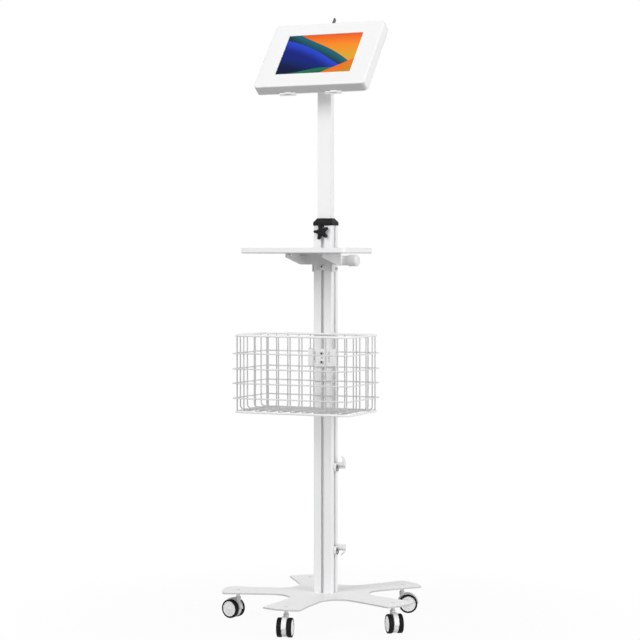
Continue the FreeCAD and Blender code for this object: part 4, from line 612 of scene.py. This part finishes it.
def softenedCopy(nodeName, name, body, width, finish=None):
    # The CAD shape with its edges rounded over and its flat faces kept flat
    mesh = nodes[nodeName].data.copy()
    piece = bpy.data.objects.new(name, mesh)
    bpy.context.collection.objects.link(piece)
    makeActive(piece)
    setMode("EDIT")
    bpy.ops.mesh.select_mode(type="VERT")
    bpy.ops.mesh.select_all(action="SELECT")
    bpy.ops.mesh.remove_doubles(threshold=softening["merge"] * mm)
    bpy.ops.mesh.customdata_custom_splitnormals_clear()
    bpy.ops.mesh.select_all(action="SELECT")
    bpy.ops.mesh.dissolve_limited(angle_limit=math.radians(softening["flatWithin"]))
    setMode("OBJECT")
    rounding = piece.modifiers.new("rounding", "BEVEL")
    rounding.width = width * mm
    rounding.segments = softening["steps"]
    rounding.limit_method = "ANGLE"
    rounding.angle_limit = math.radians(softening["roundAbove"])
    rounding.use_clamp_overlap = True
    rounding.harden_normals = False
    bpy.ops.object.modifier_apply(modifier="rounding")
    finishPiece(piece, name, finish or slotFinish[slotOf[nodeName]], body,
                [nodeName], smooth=softening["smoothBelow"])
    flat = piece.modifiers.new("flatFaces", "WEIGHTED_NORMAL")
    flat.keep_sharp = True
    flat.weight = softening["flatWeight"]
    bpy.ops.object.modifier_apply(modifier="flatFaces")


def bentWire(points, radius, bend, closed=False, sides=10, steps=5):
    # A round wire along the points, spun round each corner
    points = [Vector(point) * mm for point in points]
    bend = bend * mm
    clearSelection()
    heading = (points[1] - points[0]).normalized()
    bpy.ops.mesh.primitive_circle_add(
        vertices=sides, radius=radius * mm, fill_type="NOTHING", location=points[0],
        rotation=heading.to_track_quat("Z", "Y").to_euler())
    wire = bpy.context.object
    applyPlace(wire)
    setMode("EDIT")
    bpy.ops.mesh.select_mode(type="EDGE")
    bpy.ops.mesh.select_all(action="SELECT")
    place = points[0]
    for before, corner, after in zip(points, points[1:], points[2:]):
        along = (corner - before).normalized()
        onward = (after - corner).normalized()
        angle = along.angle(onward)
        setback = bend * math.tan(angle / 2)
        stop = corner - along * setback
        axis = along.cross(onward).normalized()
        extrude(stop - place)
        bpy.ops.mesh.spin(steps=steps, angle=-angle, center=stop + axis.cross(along) * bend,
                          axis=axis)
        place = corner + onward * setback
    extrude(points[-1] - place)
    bpy.ops.mesh.select_all(action="SELECT")
    bpy.ops.mesh.remove_doubles(threshold=near / 10)
    if not closed:
        bpy.ops.mesh.fill_holes(sides=0)
        bpy.ops.mesh.select_all(action="SELECT")
    bpy.ops.mesh.normals_make_consistent(inside=False)
    setMode("OBJECT")
    return wire


# Basket

basketSizes = {
    "rim": 3.0, "wire": 1.75, "halfWidth": 161.0, "front": -212.0, "back": -23.3, "corner": 20.0,
    "top": 755.0, "bottom": 560.0, "inset": 1.25, "columns": [-132, -99, -66, 66, 99, 132],
    "plateColumns": [-33, 0, 33], "rows": [-60.1, -98.9, -137.8, -176.6], "bend": 9.0,
    "lowFloor": 561.75, "highFloor": 564.95, "loopHalfWidth": 162.95, "loopFront": -213.95,
    "loopBack": -21.9, "loopCorner": 4.0, "loops": [594.7, 632.9, 669.9], "openLoop": 709.4,
    "plateHalfWidth": 40.0, "plateLow": 672.0, "plateHigh": 717.0,
}


def rectangle(half, front, back, height):
    return [(0, front, height), (half, front, height), (half, back, height),
            (-half, back, height), (-half, front, height), (0, front, height)]


def modelRims():
    b = basketSizes
    upper = bentWire(rectangle(b["halfWidth"], b["front"], b["back"], b["top"]), b["rim"],
                     b["corner"], closed=True, sides=16, steps=8)
    rims = [upper, copyPiece(upper, shift(z=b["bottom"] - b["top"]))]
    finishPiece(joinPieces(rims), "basketRims", "whiteCoat", "stand",
                ["basket"])


def modelUprights():
    b = basketSizes
    top, floor, wire, bend = b["top"], b["lowFloor"], b["wire"], b["bend"]
    front = b["front"] + b["inset"]
    back = b["back"] - b["inset"]
    side = b["halfWidth"] - b["inset"]
    first = b["columns"][0]
    wires = [bentWire([(first, front, top), (first, front, floor), (first, back, floor),
                       (first, back, top)], wire, bend)]
    wires += [copyPiece(wires[0], shift(x=x - first)) for x in b["columns"][1:]]

    first = b["plateColumns"][0]  # these stop under the mounting plate and go on above it
    low = bentWire([(first, front, top), (first, front, floor), (first, back, floor),
                    (first, back, b["plateLow"])], wire, bend)
    high = bentWire([(first, back, b["plateHigh"]), (first, back, top)], wire, bend)
    for x in b["plateColumns"][1:]:
        wires += [copyPiece(low, shift(x=x - first)), copyPiece(high, shift(x=x - first))]
    wires += [low, high]

    first = b["rows"][0]
    row = bentWire([(-side, first, top), (-side, first, b["highFloor"]),
                    (side, first, b["highFloor"]), (side, first, top)], wire, bend)
    wires += [row] + [copyPiece(row, shift(y=y - first)) for y in b["rows"][1:]]

    reach = (b["corner"] - b["inset"]) * math.sqrt(0.5)  # to the middle of a rounded corner
    x = b["halfWidth"] - b["corner"] + reach
    y = b["front"] + b["corner"] - reach
    far = b["back"] - b["corner"] + reach - y
    post = bentWire([(x, y, b["bottom"]), (x, y, top)], wire, bend)
    wires += [post, copyPiece(post, shift(x=-2 * x)), copyPiece(post, shift(y=far)),
              copyPiece(post, shift(x=-2 * x, y=far))]
    # the uprights take the white coat darkened into painted shade
    finishPiece(joinPieces(wires), "basketUprights", "wireCoatPaintedShade", "stand",
                ["basket"])


def modelLoops():
    b = basketSizes
    half, front, back = b["loopHalfWidth"], b["loopFront"], b["loopBack"]
    plate = b["plateHalfWidth"]
    first = b["loops"][0]
    loop = bentWire(rectangle(half, front, back, first), b["wire"], b["loopCorner"], closed=True)
    loops = [loop] + [copyPiece(loop, shift(z=z - first)) for z in b["loops"][1:]]
    height = b["openLoop"]  # open behind, where it ends on the mounting plate
    loops.append(bentWire([(plate, back, height), (half, back, height), (half, front, height),
                           (-half, front, height), (-half, back, height), (-plate, back, height)],
                          b["wire"], b["loopCorner"]))
    # the loops take the white coat darkened into painted shade
    finishPiece(joinPieces(loops), "basketLoops", "loopCoatPaintedShade", "stand",
                ["basket"])


modelRims()
modelUprights()
modelLoops()
softenedCopy("basket_plate", "basketPlate", "stand", 0.5)
print("basket ready")


# Star knob

knobSizes = {
    "height": 1021.0, "back": -23.0, "front": -33.0, "reach": 21.0, "valley": 10.2, "corners": 20,
    "firstLobe": 104.0, "tipRound": 3.0, "valleyRound": 1.4, "faceRound": 1.4, "endSides": 40,
    "neck": {"radius": 8.4, "length": 3.0, "ahead": 1.3, "wall": 1.2, "sunk": 0.8},
    "cap": {"radius": 5.6, "length": 1.6, "ahead": 0.45, "wall": 0.9, "sunk": 0.12, "round": 0.2},
}


def bearing(place):
    return math.degrees(math.atan2(place.z, place.x)) % 360


def modelStar():
    k = knobSizes
    thickness = k["back"] - k["front"]
    star = addCylinder(k["corners"], k["reach"], thickness, turn=alongY)
    setMode("EDIT")
    start = min(bearing(corner.co) for corner in star.data.vertices)
    step = 360 / k["corners"]
    # every other pair of the twenty corners goes in towards the axis: five lobes are left
    selectInEdit("VERT", lambda corner: round((bearing(corner.co) - start) / step) % 4 < 2)
    pinch = k["valley"] / k["reach"]
    bpy.ops.transform.resize(value=(pinch, 1, pinch), center_override=(0, 0, 0))

    def goesThrough(edge):
        return abs((edge.verts[0].co - edge.verts[1].co).y) > (thickness - slack) * mm

    bevelEdges(lambda edge: goesThrough(edge) and middle(edge).length > (k["reach"] - slack) * mm,
               k["tipRound"], steps=5)
    bevelEdges(lambda edge: goesThrough(edge) and middle(edge).length < (k["valley"] + slack) * mm,
               k["valleyRound"], steps=3)
    bevelEdges(lambda edge: isRidge(edge)
               and sum(abs(face.normal.y) for face in edge.link_faces) > facing,
               k["faceRound"], steps=3)
    setMode("OBJECT")
    turn = k["firstLobe"] - start - 2.5 * step  # a lobe's middle is 2.5 corners from the start
    star.matrix_world = (shift(0, (k["back"] + k["front"]) / 2, k["height"])
                         @ Matrix.Rotation(-math.radians(turn), 4, "Y"))
    applyPlace(star)
    return star


def modelKnobEnd(end, seat, way):
    # A round end with a sunk face; way is 1 towards the column and -1 towards the hand
    piece = addCylinder(knobSizes["endSides"], end["radius"], end["length"],
                        (0, seat + end["ahead"], knobSizes["height"]), alongY)
    setMode("EDIT")
    selectInEdit("FACE", lambda face: face.normal.y * way > facing)
    bpy.ops.mesh.inset(thickness=end["wall"] * mm)
    extrude((0, -way * end["sunk"] * mm, 0))
    if "round" in end:
        bevelEdges(lambda edge: middle(edge).y < (seat + slack) * mm, end["round"], steps=2)
    setMode("OBJECT")
    return piece


star = modelStar()
neck = modelKnobEnd(knobSizes["neck"], knobSizes["back"], 1)
cap = modelKnobEnd(knobSizes["cap"], knobSizes["front"], -1)
finishPiece(joinPieces([star, neck, cap]), "heightKnob", "blackPlastic", "knob",
            ["height_knob"])
print("knob ready")


# Casters

wheelSizes = {
    "sides": 72, "radius": 24.8, "width": 11.6, "tyreWall": 4.8, "shoulder": 1.8,
    "innerRound": 0.5, "hubWidth": 10.8, "hubRound": 0.35, "lip": 1.3, "lipSlope": 0.5,
    "recess": 1.1, "dome": [(4.5, 0.7), (5.0, 0.5), (3.2, 0.2)], "cap": 0.6, "capEdge": 0.8,
    "capRise": 0.25,
}
arms = ["front", "front_right", "right", "back", "left"]


def modelTyre():
    w = wheelSizes
    inner = w["radius"] - w["tyreWall"]
    tyre = addCylinder(w["sides"], w["radius"], w["width"], turn=alongX)
    setMode("EDIT")
    selectInEdit("FACE", lambda face: abs(face.normal.x) > facing)
    bpy.ops.mesh.inset(thickness=w["tyreWall"] * mm)
    bpy.ops.mesh.bridge_edge_loops()

    def onSide(edge):
        return levelInX(edge) and abs(middle(edge).x) > (w["width"] / 2 - slack) * mm

    bevelEdges(lambda edge: onSide(edge) and middle(edge).length > (w["radius"] - slack) * mm,
               w["shoulder"], steps=4)
    bevelEdges(lambda edge: onSide(edge) and middle(edge).yz.length < (inner + slack) * mm,
               w["innerRound"], steps=2)
    bpy.ops.mesh.select_all(action="SELECT")
    bpy.ops.mesh.normals_make_consistent(inside=False)
    setMode("OBJECT")
    return tyre


def modelHub():
    # Outer side towards +X: a lip, a shallow recess, a low dome and the axle's cap
    w = wheelSizes
    radius = w["radius"] - w["tyreWall"]
    hub = addCylinder(w["sides"], radius, w["hubWidth"], turn=alongX)
    setMode("EDIT")
    selectInEdit("FACE", lambda face: face.normal.x > facing)
    bpy.ops.mesh.inset(thickness=w["lip"] * mm)
    bpy.ops.mesh.inset(thickness=w["lipSlope"] * mm, depth=-w["recess"] * mm)
    for width, rise in w["dome"]:
        bpy.ops.mesh.inset(thickness=width * mm, depth=rise * mm)
    extrude((w["cap"] * mm, 0, 0))
    bpy.ops.mesh.inset(thickness=w["capEdge"] * mm, depth=w["capRise"] * mm)
    bevelEdges(lambda edge: levelInX(edge)
               and abs(middle(edge).x) > (w["hubWidth"] / 2 - slack) * mm
               and middle(edge).yz.length > (radius - w["lip"] - slack) * mm,
               w["hubRound"], steps=2)
    setMode("OBJECT")
    return hub


def modelCasters():
    tyre = modelTyre()
    hub = modelHub()
    for arm in arms:
        centres = {side: sum(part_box("wheel_%s_%s" % (side, arm)), Vector()) / 2
                   for side in ("left", "right")}
        for side, other in (("left", "right"), ("right", "left")):
            out = centres[side] - centres[other]
            turn = (Matrix.Translation(centres[side])
                    @ Matrix.Rotation(math.atan2(out.y, out.x), 4, "Z"))
            body = "wheel_%s_%s" % (side, arm)
            finishPiece(copyPiece(tyre, turn), "tyre_%s_%s" % (side, arm), "tyreRubber", body,
                        [body], smooth=32)
            finishPiece(copyPiece(hub, turn), "hub_%s_%s" % (side, arm), "hubPlastic", body,
                        [body], smooth=25)
    dropPiece(tyre)
    dropPiece(hub)
    for arm in arms:
        softenedCopy("caster_body_" + arm, "hood_" + arm, "caster_" + arm, 0.5)


modelCasters()
print("casters ready")


# Cable hooks on the column's right side

hookSizes = {
    "sides": 48, "puckRadius": 11.5, "face": 26.0, "puckEnd": 34.0, "puckRound": 1.0,
    "recessRadius": 5.9, "recess": 3.9, "tip": 54.0, "lip": 6.0, "front": -1.0, "back": 8.5,
    "overlap": 1.0, "armRound": 1.2, "taper": 0.82,
    "waySides": 40, "wayRadius": 5.7, "wayLength": 30.0,
    "upper": {"height": 404.6, "block": (-3.5, 14.0), "finger": [(-1.0, 6.5), (-4.0, 9.3)]},
    "lower": {"height": 186.4, "block": (-0.5, 16.5), "finger": [(-2.5, -6.0), (-5.5, -5.4)]},
}


def modelPuck(height):
    h = hookSizes
    puck = addCylinder(h["sides"], h["puckRadius"], h["puckEnd"] - h["face"],
                       ((h["face"] + h["puckEnd"]) / 2, 0, height), alongX)
    setMode("EDIT")
    selectInEdit("FACE", lambda face: face.normal.x > facing)
    bpy.ops.mesh.inset(thickness=(h["puckRadius"] - h["recessRadius"]) * mm)
    extrude((-h["recess"] * mm, 0, 0))
    bevelEdges(lambda edge: levelInX(edge) and abs(middle(edge).x - h["puckEnd"] * mm) < near,
               h["puckRound"], steps=3)
    setMode("OBJECT")
    return puck


def modelHookArm(height, block, finger):
    h = hookSizes
    low, high = block
    start = h["puckEnd"] - h["overlap"]
    clearSelection()
    bpy.ops.mesh.primitive_cube_add(
        size=1, location=Vector(((start + h["tip"]) / 2, (h["front"] + h["back"]) / 2,
                                 height + (low + high) / 2)) * mm,
        scale=((h["tip"] - start) * mm, (h["back"] - h["front"]) * mm, (high - low) * mm))
    arm = bpy.context.object
    applyPlace(arm)
    setMode("EDIT")
    bpy.ops.mesh.select_all(action="SELECT")
    root = (h["tip"] - h["lip"]) * mm
    bpy.ops.mesh.bisect(plane_co=(root, 0, 0), plane_no=(1, 0, 0))
    direction = 1 if finger[0][1] > 0 else -1
    selectInEdit("FACE", lambda face: face.normal.z * direction > facing
                 and face.calc_center_median().x > root)
    for x, z in finger:  # the lip that keeps the cable in
        extrude((x * mm, 0, z * mm))
        bpy.ops.transform.resize(value=(h["taper"], h["taper"], 1))
    bevelEdges(isRidge, h["armRound"], steps=3, clamp=True)
    setMode("OBJECT")
    keyWay = addCylinder(h["waySides"], h["wayRadius"], h["wayLength"],
                         (start + h["wayLength"] / 2, 0, height), alongX)
    cutAway(arm, keyWay, "keyWay")
    return arm


for name in ("upper", "lower"):
    own = hookSizes[name]
    hook = [modelPuck(own["height"]), modelHookArm(own["height"], own["block"], own["finger"])]
    finishPiece(joinPieces(hook), "cableHook_" + name, "whitePlastic", "stand",
                ["cable_hooks"])
print("hooks ready")


# Pan-head screws of the column's slots

screwSizes = {
    "sides": 36, "radius": 5.2, "height": 3.3, "crown": 1.3,
    "socketSides": 6, "socket": 2.9, "socketDepth": 2.6,
    "places": [  # seat of the head, and the way it faces
        ((0, -23.0, 930.8), (0, -1, 0)), ((-28.8, 0, 925.6), (-1, 0, 0)),
        ((28.8, 0, 925.6), (1, 0, 0)), ((0, 24.0, 968.7), (0, 1, 0)),
        ((0, 24.0, 924.7), (0, 1, 0)), ((0, -23.6, 704.3), (0, -1, 0)),
        ((0, -23.6, 681.8), (0, -1, 0)), ((30.0, 0, 404.6), (1, 0, 0)),
        ((30.0, 0, 186.4), (1, 0, 0)),
    ],
}


def modelScrew():
    w = screwSizes
    head = addCylinder(w["sides"], w["radius"], w["height"], (0, 0, w["height"] / 2))
    setMode("EDIT")
    bevelEdges(lambda edge: middle(edge).z > (w["height"] - slack) * mm, w["crown"], steps=4)
    setMode("OBJECT")
    key = addCylinder(w["socketSides"], w["socket"], 2 * w["socketDepth"], (0, 0, w["height"]))
    cutAway(head, key, "socket")
    mark = head.data.attributes.new("socketMark", "FLOAT", "FACE")
    for face, value in zip(head.data.polygons, mark.data):
        within = face.center.xy.length < w["socket"] * mm
        between = slack * mm < face.center.z < (w["height"] - slack) * mm
        value.value = 1.0 if within and between else 0.0
    return head


head = modelScrew()
for number, (seat, way) in enumerate(screwSizes["places"], 1):
    turn = Vector(way).to_track_quat("Z", "Y").to_matrix().to_4x4()
    finishPiece(copyPiece(head, shift(*seat) @ turn), "slotScrew_%d" % number, "screwSteel",
                "stand", ["slot_screws"], smooth=30)
dropPiece(head)
print("screws ready")


# Sheet, cast and moulded parts with their edges rounded over

roundedParts = [  # node, name, body, rounding, and a finish where it isn't the slot's own
    ("base_plate", "basePlate", "stand", 0.6, "baseCoat"),
    ("collar", "collarCap", "stand", 0.7, None),
    ("tray", "trayPan", "stand", 0.5, "trayCoat"),
    ("tray_bracket", "trayBracket", "stand", 0.5, None),
    ("handle_arm", "handleArm", "stand", 0.6, None),
    ("handle_bar", "handleBar", "stand", 0.5, None),
    ("handle_caps", "handleCaps", "stand", 0.6, None),
    ("head_bracket", "headBracket", "mast", 0.5, None),
    ("tilt_yoke", "tiltYoke", "yoke", 0.5, None),
    ("swivel_disc", "swivelDisc", "head", 0.6, None),
    ("back_plate", "backPlate", "head", 0.4, None),
    ("front_cover", "frontCover", "cover", 0.5, "coverCoat"),
    ("lock_barrel", "lockBarrel", "cover", 0.4, None),
    ("key", "lockKey", "lock", 0.3, "darkSteel"),
]
for nodeName, name, body, width, finish in roundedParts:
    softenedCopy(nodeName, name, body, width, finish)
print("rounded parts ready")
